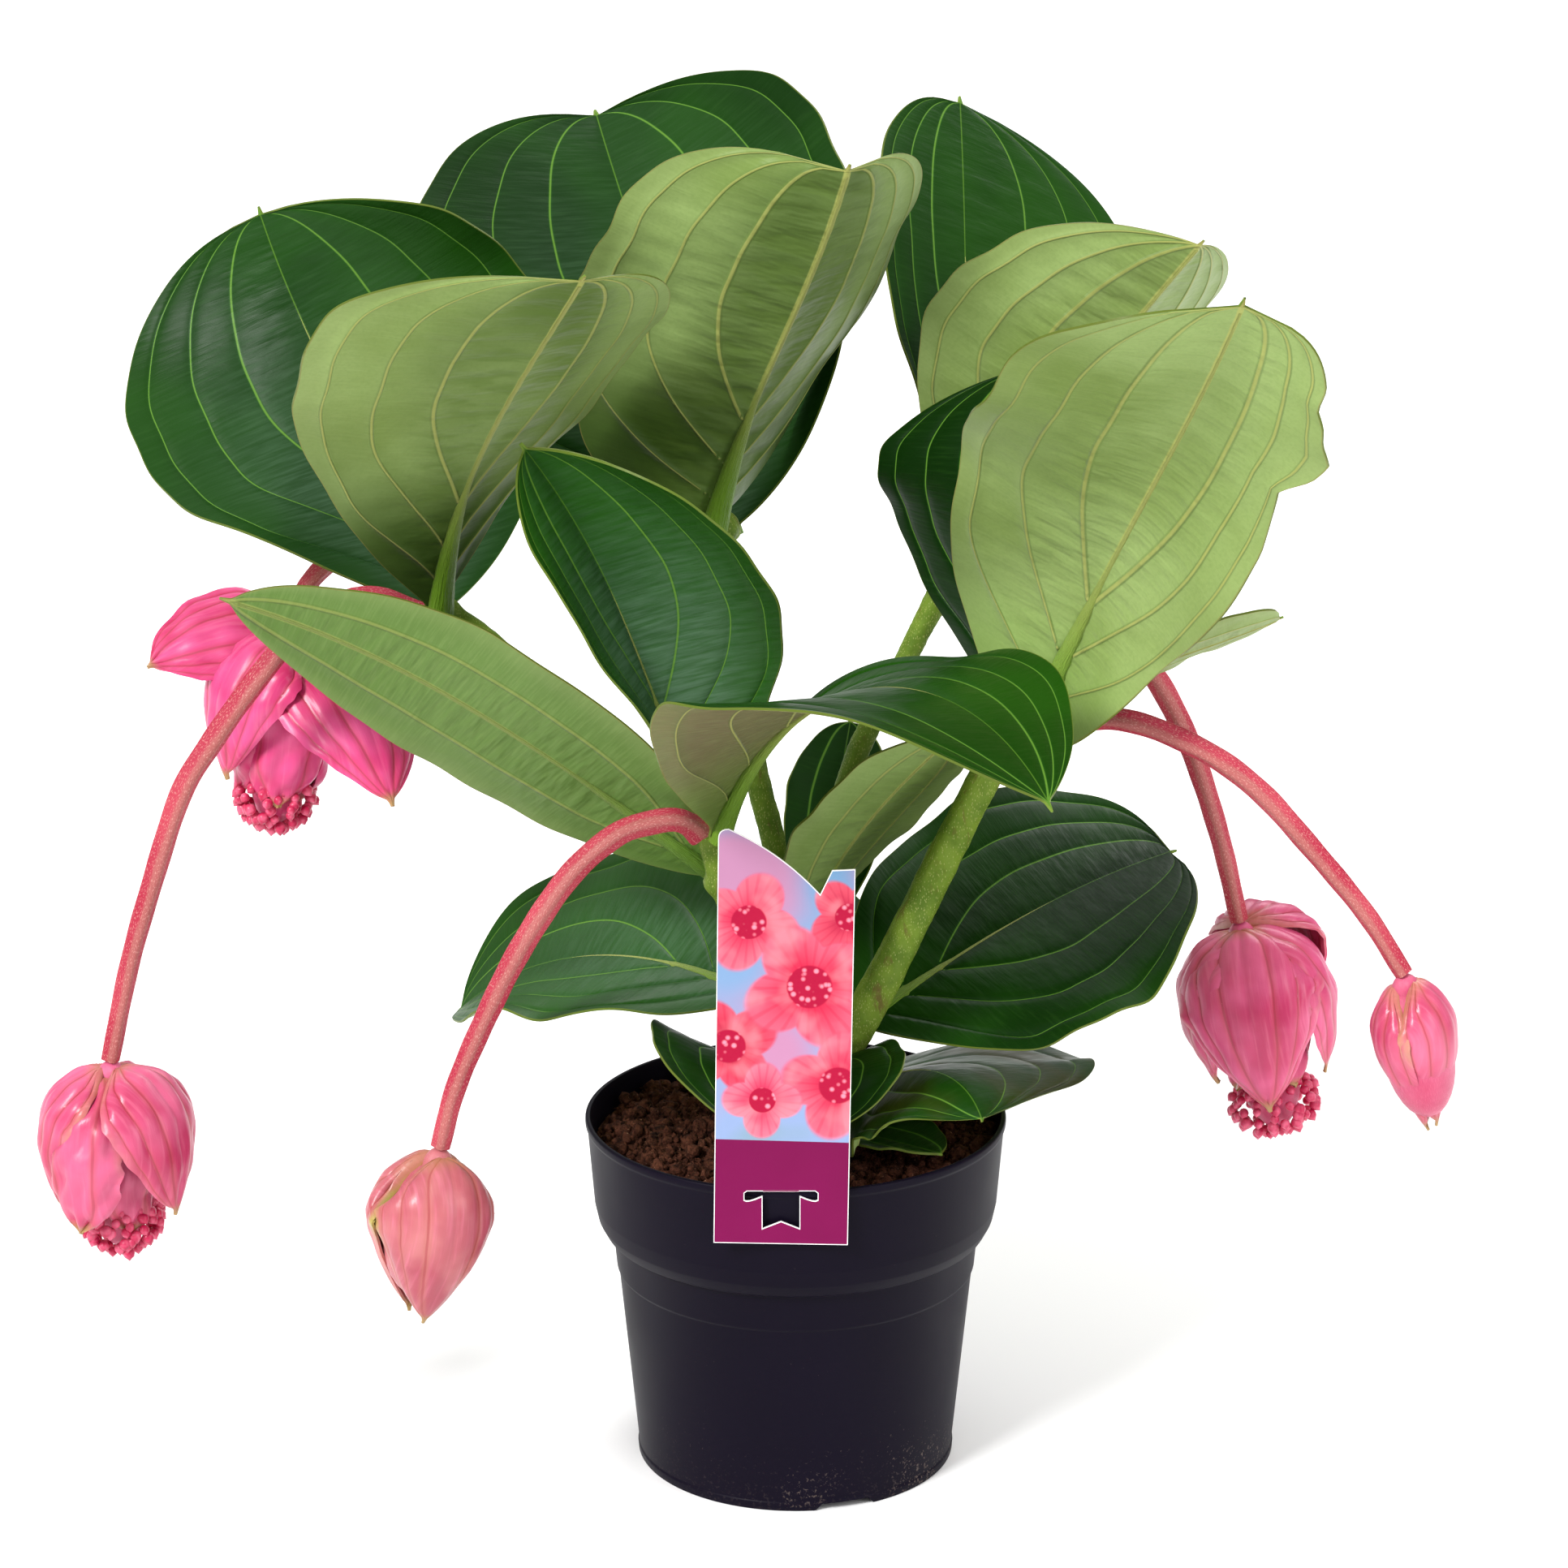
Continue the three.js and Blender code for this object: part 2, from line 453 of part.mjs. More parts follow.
function potSolid() {
  const { wall, ledgeHeight: ledge, ledgeStep: step } = POT;
  const slope = (POT.shoulderRadius - POT.footRadius) / POT.shoulderBottom;
  const body = (height) => POT.footRadius + slope * height;
  const bandOut = (height) => mix(
    POT.bandRadius, POT.rimRadius - 0.8, (height - POT.bandBottom) / (POT.bandTop - POT.bandBottom));
  const profile = [
    [0, 0], [POT.padRadius, 0], [POT.padRadius + 2, POT.floorBottom],
    [POT.footRingInner - 2, POT.floorBottom], [POT.footRingInner, 0], [POT.footRadius, 0],
    [body(ledge - 1) - step, ledge - 1], [body(ledge), ledge],
    [POT.shoulderRadius, POT.shoulderBottom], [POT.shoulderRadius + 3.4, POT.shoulderBottom + 1.6],
    [POT.bandRadius - 1.4, POT.bandBottom - 6.5], [POT.bandRadius, POT.bandBottom],
    [bandOut(POT.bandTop), POT.bandTop], [POT.rimRadius, POT.bandTop + 1.2],
    [POT.rimRadius, POT.height - 0.6], [POT.rimRadius - 0.6, POT.height],
    [POT.rimRadius - wall, POT.height], [POT.rimRadius - wall - 0.6, POT.bandTop],
    [POT.bandRadius - wall, POT.bandBottom + 1], [POT.shoulderRadius - wall + 1, POT.shoulderBottom + 4],
    [POT.shoulderRadius - wall, POT.shoulderBottom],
    [body(POT.floorTop) - wall, POT.floorTop], [0, POT.floorTop],
  ];
  const tools = [];
  for (let i = 0; i < FOOT_NOTCH.count; i += 1) {
    const { heading, mouth, top, height, count } = FOOT_NOTCH;
    const outline = new THREE.Shape([[-mouth / 2, -1], [mouth / 2, -1], [top / 2, height], [-top / 2, height]]
      .map(([x, y]) => new THREE.Vector2(x, y)));
    const prism = new THREE.ExtrudeGeometry(outline, { depth: 20, bevelEnabled: false });
    prism.rotateX(Math.PI / 2).translate(0, 72, 0).rotateZ(rad(heading - 90 + (i * 360) / count));
    tools.push(solidOf(prism));
  }
  for (let i = 0; i < DRAIN_HOLE.count; i += 1) {
    const angle = rad(15 + (i * 360) / DRAIN_HOLE.count);
    const hole = new THREE.CylinderGeometry(DRAIN_HOLE.radius, DRAIN_HOLE.radius, 20, DRAIN_HOLE.sides);
    hole.rotateX(Math.PI / 2);
    hole.translate(DRAIN_HOLE.ring * Math.cos(angle), DRAIN_HOLE.ring * Math.sin(angle), POT.floorTop);
    tools.push(solidOf(hole));
  }
  return cut(solidOf(turned(profile, POT.sides)), tools);
}

function soilSolid(fatStem) {
  const { wall } = POT;
  const side = wall + GAP + 0.2;
  const slope = (POT.shoulderRadius - POT.footRadius) / POT.shoulderBottom;
  const profile = [
    [0, POT.floorTop + GAP], [POT.footRadius + slope * POT.floorTop - side - 0.4, POT.floorTop + GAP],
    [POT.shoulderRadius - side, POT.shoulderBottom],
    [POT.shoulderRadius - side + 1, POT.shoulderBottom + 4.3],
    [POT.bandRadius - side, POT.bandBottom + 1.3], [POT.rimRadius - side - 1.4, SOIL.edgeHeight],
    [66, SOIL.edgeHeight + 1], [52, SOIL.edgeHeight + 2.5], [37, SOIL.edgeHeight + 4],
    [21, SOIL.edgeHeight + SOIL.moundHeight], [0, SOIL.edgeHeight + SOIL.moundHeight],
  ];
  const geometry = turned(profile, POT.sides);
  const places = geometry.getAttribute('position');
  for (let i = 0; i < places.count; i += 1) {
    const [x, y, z] = [places.getX(i), places.getY(i), places.getZ(i)];
    const lump = Math.sin(x * 0.31 + 1) * Math.cos(y * 0.27) + 0.6 * Math.sin(x * 0.13 - y * 0.21);
    if (z > SOIL.edgeHeight + 0.5) places.setZ(i, z + SOIL.lump * lump);
  }
  return solidOf(geometry).subtract(fatStem);
}

// The stem, made `extra` thicker all over when it is the tool that clears its place in other pieces.
function stemSolid(extra = 0) {
  const branches = Object.values(BRANCHES).map((points) => {
    const radii = points.map((point) => point[3] + extra);
    const reach = vec(points[0]).distanceTo(vec(points.at(-1)));
    return tube(points, radii, STEM_SIDES, Math.max(3, Math.round(reach / BRANCH_STEP)));
  });
  const nodes = NODES.map(([x, y, z, radius]) => ball([x, y, z], radius + extra));
  return joined([...branches, ...nodes]);
}

function stalkSolid(points, radius) {
  const reach = new THREE.CatmullRomCurve3(points.map(vec)).getLength();
  return tube(points, [radius, radius, STALK.neck * (radius / STALK.radius)], STALK.sides,
    Math.round(reach / STALK.step), STALK.corner);
}

// A flower head, made hanging straight down from the origin and then turned to its axis.
function bloomSolid({ top, foot, outer, inner, core, beads }) {
  const pieces = [];
  const knob = new THREE.SphereGeometry(1, 8, 5).rotateX(Math.PI / 2);
  knob.scale(CALYX.radius, CALYX.radius, CALYX.length).translate(0, 0, -CALYX.length);
  pieces.push(solidOf(knob));
  const middle = (core.to - core.from) / 2;
  const heart = new THREE.SphereGeometry(1, 8, 6).rotateX(Math.PI / 2).scale(core.radius, core.radius, middle);
  pieces.push(solidOf(heart.translate(0, 0, -core.from - middle)));
  for (const [whorl, swell] of [[outer, BRACT.outerSwell], [inner, BRACT.innerSwell]]) {
    for (const { heading, curl, depth = 0, roll = 0, ...bract } of whorl) {
      const outward = [BRACT.root * Math.cos(rad(heading)), BRACT.root * Math.sin(rad(heading))];
      pieces.push(blade({ ...bract, heading, swell, foot: [...outward, -depth - BRACT.drop], swing: 0,
        roll: [roll, roll], fold: [0, 0], curl: [curl, curl], ripple: 0 }, BRACT));
    }
  }
  for (let i = 0; i < beads; i += 1) {
    const fall = 1 - (0.5 * (i + 0.5)) / beads;
    const turn = i * 2.4;
    const ring = Math.sqrt(Math.max(0, 1 - fall ** 2)) * core.radius;
    const bead = new THREE.OctahedronGeometry(BEAD.radius, 0);
    bead.translate((ring + BEAD.stand) * Math.cos(turn), (ring + BEAD.stand) * Math.sin(turn),
      -core.from - middle - fall * (middle + BEAD.stand));
    pieces.push(solidOf(bead));
  }
  const axis = vec(foot).sub(vec(top)).normalize();
  const turn = new THREE.Quaternion().setFromUnitVectors(new THREE.Vector3(0, 0, -1), axis);
  const place = new THREE.Matrix4().compose(vec(top), turn, new THREE.Vector3(1, 1, 1));
  return joined(pieces).transform(place.toArray());
}

// The card stands in front of the rim. Its punched flap goes back over the rim and down inside the pot.
function cardSolid() {
  const { left, right, bottom, topLeft, topRight, notch, corner, thickness, lean } = CARD;
  const { left: flapLeft, right: flapRight, wing, wingHeight, top, length, drop, swallow } = CARD_FLAP;
  const drift = (height) => (lean * (height - bottom)) / (topLeft - bottom);
  const outline = new THREE.Shape();
  outline.moveTo(left, bottom + 1);
  outline.lineTo(right, bottom);
  outline.lineTo(right + drift(topRight), topRight);
  outline.lineTo(notch[0] + 4.5, topRight - 0.4);
  outline.lineTo(notch[0], notch[1]);
  outline.quadraticCurveTo(notch[0] - 15, topLeft - 9, left + drift(topLeft) + corner, topLeft);
  outline.quadraticCurveTo(left + drift(topLeft), topLeft, left + drift(topLeft), topLeft - corner);
  outline.closePath();
  const middle = (flapLeft + flapRight) / 2;
  const punched = [
    [flapLeft - wing, top], [flapLeft - wing, top - wingHeight], [flapLeft, top - 2],
    [flapLeft, top - length], [middle, top - length + swallow], [flapRight, top - length],
    [flapRight, top - 2], [flapRight + wing, top - wingHeight], [flapRight + wing, top],
  ];
  outline.holes.push(new THREE.Path(punched.map(([x, y]) => new THREE.Vector2(x, y))));
  const front = -POT.rimRadius - GAP - thickness;
  const sheet = new THREE.ExtrudeGeometry(outline, { depth: thickness, bevelEnabled: false, curveSegments: 4 })
    .rotateX(Math.PI / 2).translate(0, front + thickness, 0);
  const over = front + POT.wall + GAP * 2 + thickness * 2 + 1.8;
  const bend = new THREE.Shape([
    [front, top], [front, top + thickness], [over, top + thickness], [over + 1.5, top - drop],
    [over + 1.5 - thickness, top - drop], [over - thickness, top],
  ].map(([y, z]) => new THREE.Vector2(y, z)));
  const flap = new THREE.ExtrudeGeometry(bend, { depth: flapRight - flapLeft, bevelEnabled: false })
    .rotateY(Math.PI / 2).rotateX(Math.PI / 2).translate(flapLeft, 0, 0);
  return solidOf(sheet).add(solidOf(flap));
}

// ---------------------------------------------------------------- the whole plant

const plant = new THREE.Group();

function place(name, solid, { color, roughness, metalness }) {
  const material = new THREE.MeshStandardMaterial({ color, roughness, metalness });
  const mesh = new THREE.Mesh(geometryOf(solid), material);
  mesh.name = name;
  plant.add(mesh);
}

const stem = stemSolid();
const fatStem = stemSolid(GAP);
place('pot', potSolid(), FINISH.pot);
place('soil', soilSolid(fatStem), FINISH.soil);
place('stem', stem, FINISH.stem);
place('label', cardSolid(), FINISH.card);

for (const [name, shape] of Object.entries(LEAVES)) {
  const finish = LIGHT_LEAVES.includes(name) ? FINISH.leafLight : FINISH.leafDark;
  place(name, mainBody(blade(shape, BLADE).subtract(fatStem)), finish);
}

for (const [name, bloom] of Object.entries(BLOOMS)) {
  const stalk = name.replace(/bloom|bud/, 'stalk');
  const [x, y, z] = bloom.top;
  const points = [...STALKS[stalk], [x, y, z + GAP]];
  place(stalk, mainBody(stalkSolid(points, STALK.radius).subtract(fatStem)), FINISH.stalk);
  const head = bloomSolid(bloom).subtract(stalkSolid(points, STALK.radius + GAP));
  place(name, mainBody(head), { ...FINISH.stalk, color: bloom.color });
}

export default plant;
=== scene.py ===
# %% [markdown]
# A medinilla in its nursery pot: a leafy plant with hanging pink flower heads.
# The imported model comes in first, as a frame that never moves. Every piece below is made in the same
# place as the node that it stands for, so nothing has to be fitted afterwards.

# %% The frame
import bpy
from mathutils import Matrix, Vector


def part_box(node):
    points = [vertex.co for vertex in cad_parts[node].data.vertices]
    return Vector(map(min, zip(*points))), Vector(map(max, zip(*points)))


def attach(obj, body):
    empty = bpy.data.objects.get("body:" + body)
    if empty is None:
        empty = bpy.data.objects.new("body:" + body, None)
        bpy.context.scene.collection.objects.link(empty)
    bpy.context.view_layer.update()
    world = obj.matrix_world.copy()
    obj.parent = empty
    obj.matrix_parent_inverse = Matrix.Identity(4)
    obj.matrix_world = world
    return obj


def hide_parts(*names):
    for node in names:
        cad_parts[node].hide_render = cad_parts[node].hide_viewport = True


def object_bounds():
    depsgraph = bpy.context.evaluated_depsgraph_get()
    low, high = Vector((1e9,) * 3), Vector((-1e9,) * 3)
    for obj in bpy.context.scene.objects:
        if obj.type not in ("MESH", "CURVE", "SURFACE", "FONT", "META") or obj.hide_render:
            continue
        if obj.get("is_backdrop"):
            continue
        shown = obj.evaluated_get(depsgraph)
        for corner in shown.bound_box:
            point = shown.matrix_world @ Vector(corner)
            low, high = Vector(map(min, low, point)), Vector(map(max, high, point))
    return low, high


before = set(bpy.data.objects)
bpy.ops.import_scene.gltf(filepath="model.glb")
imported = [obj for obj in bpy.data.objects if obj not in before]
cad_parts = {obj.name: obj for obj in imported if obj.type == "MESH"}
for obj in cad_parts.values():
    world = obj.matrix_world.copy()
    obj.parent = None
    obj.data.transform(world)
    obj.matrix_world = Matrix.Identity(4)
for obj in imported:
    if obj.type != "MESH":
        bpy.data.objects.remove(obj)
CAD_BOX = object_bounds()
print("nodes in the frame:", len(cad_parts))

# %% Names used all through
import math
import bpy
import numpy as np
from mathutils import Matrix, Vector

MM = 0.001
GAP = 0.3  # mm between a piece and what it grows from
print("frame box in mm:", [[round(c / MM, 1) for c in corner] for corner in CAD_BOX])

# %% [markdown]
# A finish is a tree of shader nodes. The helper below keeps each one short to write: it adds nodes,
# joins them, and sets the plain numbers on the shader's own sockets.
# Colours are written as 0 to 255 values as seen, and turned into the linear values that Blender mixes.
# Most finishes are coats: a first colour, then others over it, each where its mask says.

# %% A helper for finishes
def seen(red, green, blue):
    """A colour as seen, as the linear colour that Blender works in."""
    def linear(value):
        value /= 255
        return value / 12.92 if value <= 0.04045 else ((value + 0.055) / 1.055) ** 2.4
    return (linear(red), linear(green), linear(blue), 1.0)


class Finish:
    def __init__(self, name, **numbers):
        self.material = bpy.data.materials.new(name)
        self.material.use_nodes = True
        self.tree = self.material.node_tree
        self.shader = self.tree.nodes["Principled BSDF"]
        for socket, value in numbers.items():
            self.shader.inputs[socket.replace("_", " ")].default_value = value

    def node(self, kind, **settings):
        made = self.tree.nodes.new("ShaderNode" + kind)
        for setting, value in settings.items():
            setattr(made, setting, value)
        return made

    def put(self, socket, value):
        """Gives a socket a number or a colour as seen, or joins another socket to it."""
        if isinstance(value, bpy.types.NodeSocket):
            self.tree.links.new(value, socket)
        else:
            socket.default_value = seen(*value) if isinstance(value, tuple) else value

    def places(self, stretch=(1, 1, 1), uv=False):
        """Object coordinates, or the piece's own UV map, stretched by a Mapping node."""
        source = self.node("TexCoord").outputs["UV" if uv else "Object"]
        mapping = self.node("Mapping")
        mapping.inputs["Scale"].default_value = stretch
        self.put(mapping.inputs["Vector"], source)
        return mapping.outputs["Vector"]

    def noise(self, scale, detail=3, rough=0.5, vector=None, twist=0):
        made = self.node("TexNoise")
        self.put(made.inputs["Vector"], self.places() if vector is None else vector)
        sockets = ("Scale", "Detail", "Roughness", "Distortion")
        for socket, value in zip(sockets, (scale, detail, rough, twist)):
            made.inputs[socket].default_value = value
        return made.outputs["Fac"]

    def cells(self, scale, vector=None):
        made = self.node("TexVoronoi")
        self.put(made.inputs["Vector"], self.places() if vector is None else vector)
        made.inputs["Scale"].default_value = scale
        return made.outputs["Distance"]

    def attribute(self, name):
        return self.node("Attribute", attribute_name=name).outputs["Fac"]

    def span(self, value, low, high, to=(0, 1)):
        """Follows a value smoothly from one end of a span to the other."""
        made = self.node("MapRange", interpolation_type="SMOOTHSTEP")
        for socket, number in zip(("From Min", "From Max", "To Min", "To Max"), (low, high, *to)):
            made.inputs[socket].default_value = number
        self.put(made.inputs["Value"], value)
        return made.outputs["Result"]

    def by(self, word, low, high, to=(0, 1)):
        """The same, for a number that is written on the mesh."""
        return self.span(self.attribute(word), low, high, to)

    def math(self, operation, first, second=0.0):
        made = self.node("Math", operation=operation)
        self.put(made.inputs[0], first)
        self.put(made.inputs[1], second)
        return made.outputs[0]

    def times(self, product, *factors):
        for factor in factors:
            product = self.math("MULTIPLY", product, factor)
        return product

    def axes(self, vector):
        """The X, Y and Z of a vector."""
        made = self.node("SeparateXYZ")
        self.put(made.inputs[0], vector)
        return made.outputs

    def blend(self, share, first, second):
        made = self.node("Mix", data_type="RGBA")
        for socket, value in ((0, share), (6, first), (7, second)):
            self.put(made.inputs[socket], value)
        return made.outputs[2]

    def coats(self, color, *layers):
        """Lays colours over the first one, each where its mask says."""
        for mask, over in layers:
            color = self.blend(mask, color, over)
        return color

    def relief(self, height, strength, depth):
        """Adds a bump on top of those already there. Depth is in metres."""
        made = self.node("Bump")
        made.inputs["Strength"].default_value = strength
        made.inputs["Distance"].default_value = depth
        self.put(made.inputs["Height"], height)
        normal = self.shader.inputs["Normal"]
        if normal.is_linked:
            self.put(made.inputs["Normal"], normal.links[0].from_socket)
        self.put(normal, made.outputs["Normal"])

    def use(self, color, roughness):
        self.put(self.shader.inputs["Base Color"], color)
        self.put(self.shader.inputs["Roughness"], roughness)
        print("finish", self.material.name, "with", len(self.tree.nodes), "nodes")
        return self.material

# %% [markdown]
# A few steps come back for every piece, so each is a short helper.
# Operators act on everything that is selected, and the frame's nodes come in selected, so a piece is
# always picked alone first. A modifier is applied at once, as its result is what the piece is made of.

# %% Helpers for pieces
def deselect():
    bpy.ops.object.select_all(action="DESELECT")


def pick(*pieces):
    """Selects these pieces and nothing else."""
    deselect()
    for piece in pieces:
        piece.select_set(True)
    bpy.context.view_layer.objects.active = pieces[0]


def edit(mode="EDIT"):
    """Goes into edit mode with everything selected, or back to object mode."""
    bpy.ops.object.mode_set(mode=mode)
    if mode == "EDIT":
        bpy.ops.mesh.select_all(action="SELECT")


def modify(piece, kind, **settings):
    """Adds a modifier and applies it."""
    pick(piece)
    modifier = piece.modifiers.new(kind.title(), kind)
    for setting, value in settings.items():
        setattr(modifier, setting, value)
    bpy.ops.object.modifier_apply(modifier=modifier.name)


def merge(*pieces):
    """Joins pieces into the first one."""
    pick(*pieces)
    if len(pieces) > 1:
        bpy.ops.object.join()
    return pieces[0]


def clean(piece, near=1e-5):
    """Merges doubled corners and turns every face outwards."""
    pick(piece)
    edit()
    bpy.ops.mesh.remove_doubles(threshold=near)
    bpy.ops.mesh.normals_make_consistent(inside=False)
    edit("OBJECT")


def paint(piece, *materials):
    """Gives a piece these materials and no others."""
    piece.data.materials.clear()
    for material in materials:
        piece.data.materials.append(material)


def from_mesh(name, corners, edges, faces):
    """A new piece from corners in mm, edges and faces."""
    mesh = bpy.data.meshes.new(name)
    mesh.from_pydata((np.asarray(corners) * MM).tolist(), edges, faces)
    piece = bpy.data.objects.new(name, mesh)
    bpy.context.collection.objects.link(piece)
    return piece


def dress(piece, node, smooth=60):
    """Names a finished piece, smooths it and hangs it in the frame in place of its node."""
    pick(piece)
    bpy.ops.object.shade_smooth_by_angle(angle=math.radians(smooth))
    piece.name = node + "_dressed"
    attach(piece, "root")
    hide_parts(node)
    low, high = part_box(node)
    corners = np.array(piece.bound_box)
    over = max(max(low - Vector(corners.min(0))), max(Vector(corners.max(0)) - high)) / MM
    print(f"{piece.name}: {len(piece.data.polygons)} faces, {over:.1f} mm past its node")

# %% [markdown]
# Leaves, bracts, stalks and branches all start as a flat grid. A leaf's corners are then moved to a
# midrib that bends and turns, and a stem's grid is rolled into a tube.
# Pulling corners one by one would be the same work by hand. Each corner keeps its row and column, so
# a pattern can follow the surface through the grid's own UV map.

# %% A grid that takes a shape
def lattice(name, rows, columns):
    """A flat grid, and the row and column of each of its corners."""
    deselect()
    bpy.ops.mesh.primitive_grid_add(x_subdivisions=columns - 1, y_subdivisions=rows - 1, size=1)
    piece = bpy.context.object
    piece.name = name
    flat = np.empty(len(piece.data.vertices) * 3)
    piece.data.vertices.foreach_get("co", flat)
    flat = flat.reshape(-1, 3)
    row = np.rint((flat[:, 1] + 0.5) * (rows - 1)).astype(int)
    column = np.rint((flat[:, 0] + 0.5) * (columns - 1)).astype(int)
    return piece, row, column


def move(piece, places):
    """Moves every corner to its place, given in mm."""
    piece.data.vertices.foreach_set("co", (np.asarray(places) * MM).ravel())
    piece.data.update()


def map_surface(piece, across, along):
    """Lays the UV map in metres, from a value for each corner."""
    corners = np.empty(len(piece.data.loops), int)
    piece.data.loops.foreach_get("vertex_index", corners)
    layer = piece.data.uv_layers[0]
    layer.data.foreach_set("uv", np.stack([across[corners], along[corners]], 1).ravel() * MM)


def note(piece, name, values):
    """Writes a number on every corner for a finish to read."""
    layer = piece.data.attributes.new(name, "FLOAT", "POINT")
    layer.data.foreach_set("value", np.broadcast_to(values, len(piece.data.vertices)).astype(np.float32))

# %% [markdown]
# A blade is a leaf or a bract. Its midrib turns by `swing`, climbs from the first `rise` to the second
# with a `bow` between, and rolls. The outline swells from the foot and ends in a drip tip. Each half
# starts at its `fold` angle and curls on from there.
# Medinilla leaves have long side veins that leave the midrib one after another and run to the tip
# along the margin. The skin stands up between them like a quilt, so the grid's columns follow the
# veins: that puts a crease where each vein lies, with few faces.

# %% The blade's frame and outline
MIDRIB_STEPS = 480
CREASE = 1.1  # mm, the width of the grid's cell beside a vein
FAR = 99.0  # mm, for what has no vein, rib or margin nearby


def midrib(shape, shares):
    """Places on the midrib, and the directions along, left and up there."""
    def directions(share):
        turn = np.radians(shape["heading"] + shape.get("swing", 0) * share)
        first, last = shape["rise"]
        climb = np.radians(first + (last - first) * share + shape["bow"] * np.sin(np.pi * share))
        first, last = shape["roll"]
        tilt = np.radians(first + (last - first) * share)[:, None]
        along = np.stack([np.cos(turn) * np.cos(climb), np.sin(turn) * np.cos(climb), np.sin(climb)], 1)
        level = np.stack([-np.sin(turn), np.cos(turn), 0 * turn], 1)
        left = level * np.cos(tilt) + np.cross(along, level) * np.sin(tilt)
        return along, left, np.cross(along, left)
    middles = (np.arange(MIDRIB_STEPS) + 0.5) / MIDRIB_STEPS
    steps = directions(middles)[0] * shape["size"][0] / MIDRIB_STEPS
    path = np.vstack([[0, 0, 0], np.cumsum(steps, 0)]) + shape["foot"]
    knots = np.linspace(0, 1, MIDRIB_STEPS + 1)
    places = np.stack([np.interp(shares, knots, path[:, axis]) for axis in range(3)], 1)
    return places, *directions(shares)


def half_width(share, shape, stub, tip_length, tip_half):
    """Half the blade's width in mm at a share of its length."""
    rounding, ending = shape["swell"]
    body = np.clip(share / (1 - tip_length * 0.4), 0, 1)
    widest = rounding / (rounding + ending)
    peak = widest ** rounding * (1 - widest) ** ending
    swelling = shape["size"][1] / 2 * body ** rounding * (1 - body) ** ending / peak
    foot = stub * np.clip(1 - share / 0.1, 0, 1)
    point = tip_half * np.clip((1 - share) / tip_length, 0, 1) + 0.25
    return (swelling ** 3 + foot ** 3 + point ** 3) ** (1 / 3)


def vein_path(vein, share):
    """Where a side vein runs, as a share of the half width: 0 while it is still in the midrib."""
    reach, leaves_at, bends_over = vein
    out = np.clip((share - leaves_at) / bends_over, 0, 1)
    return reach * out * (2 - out)


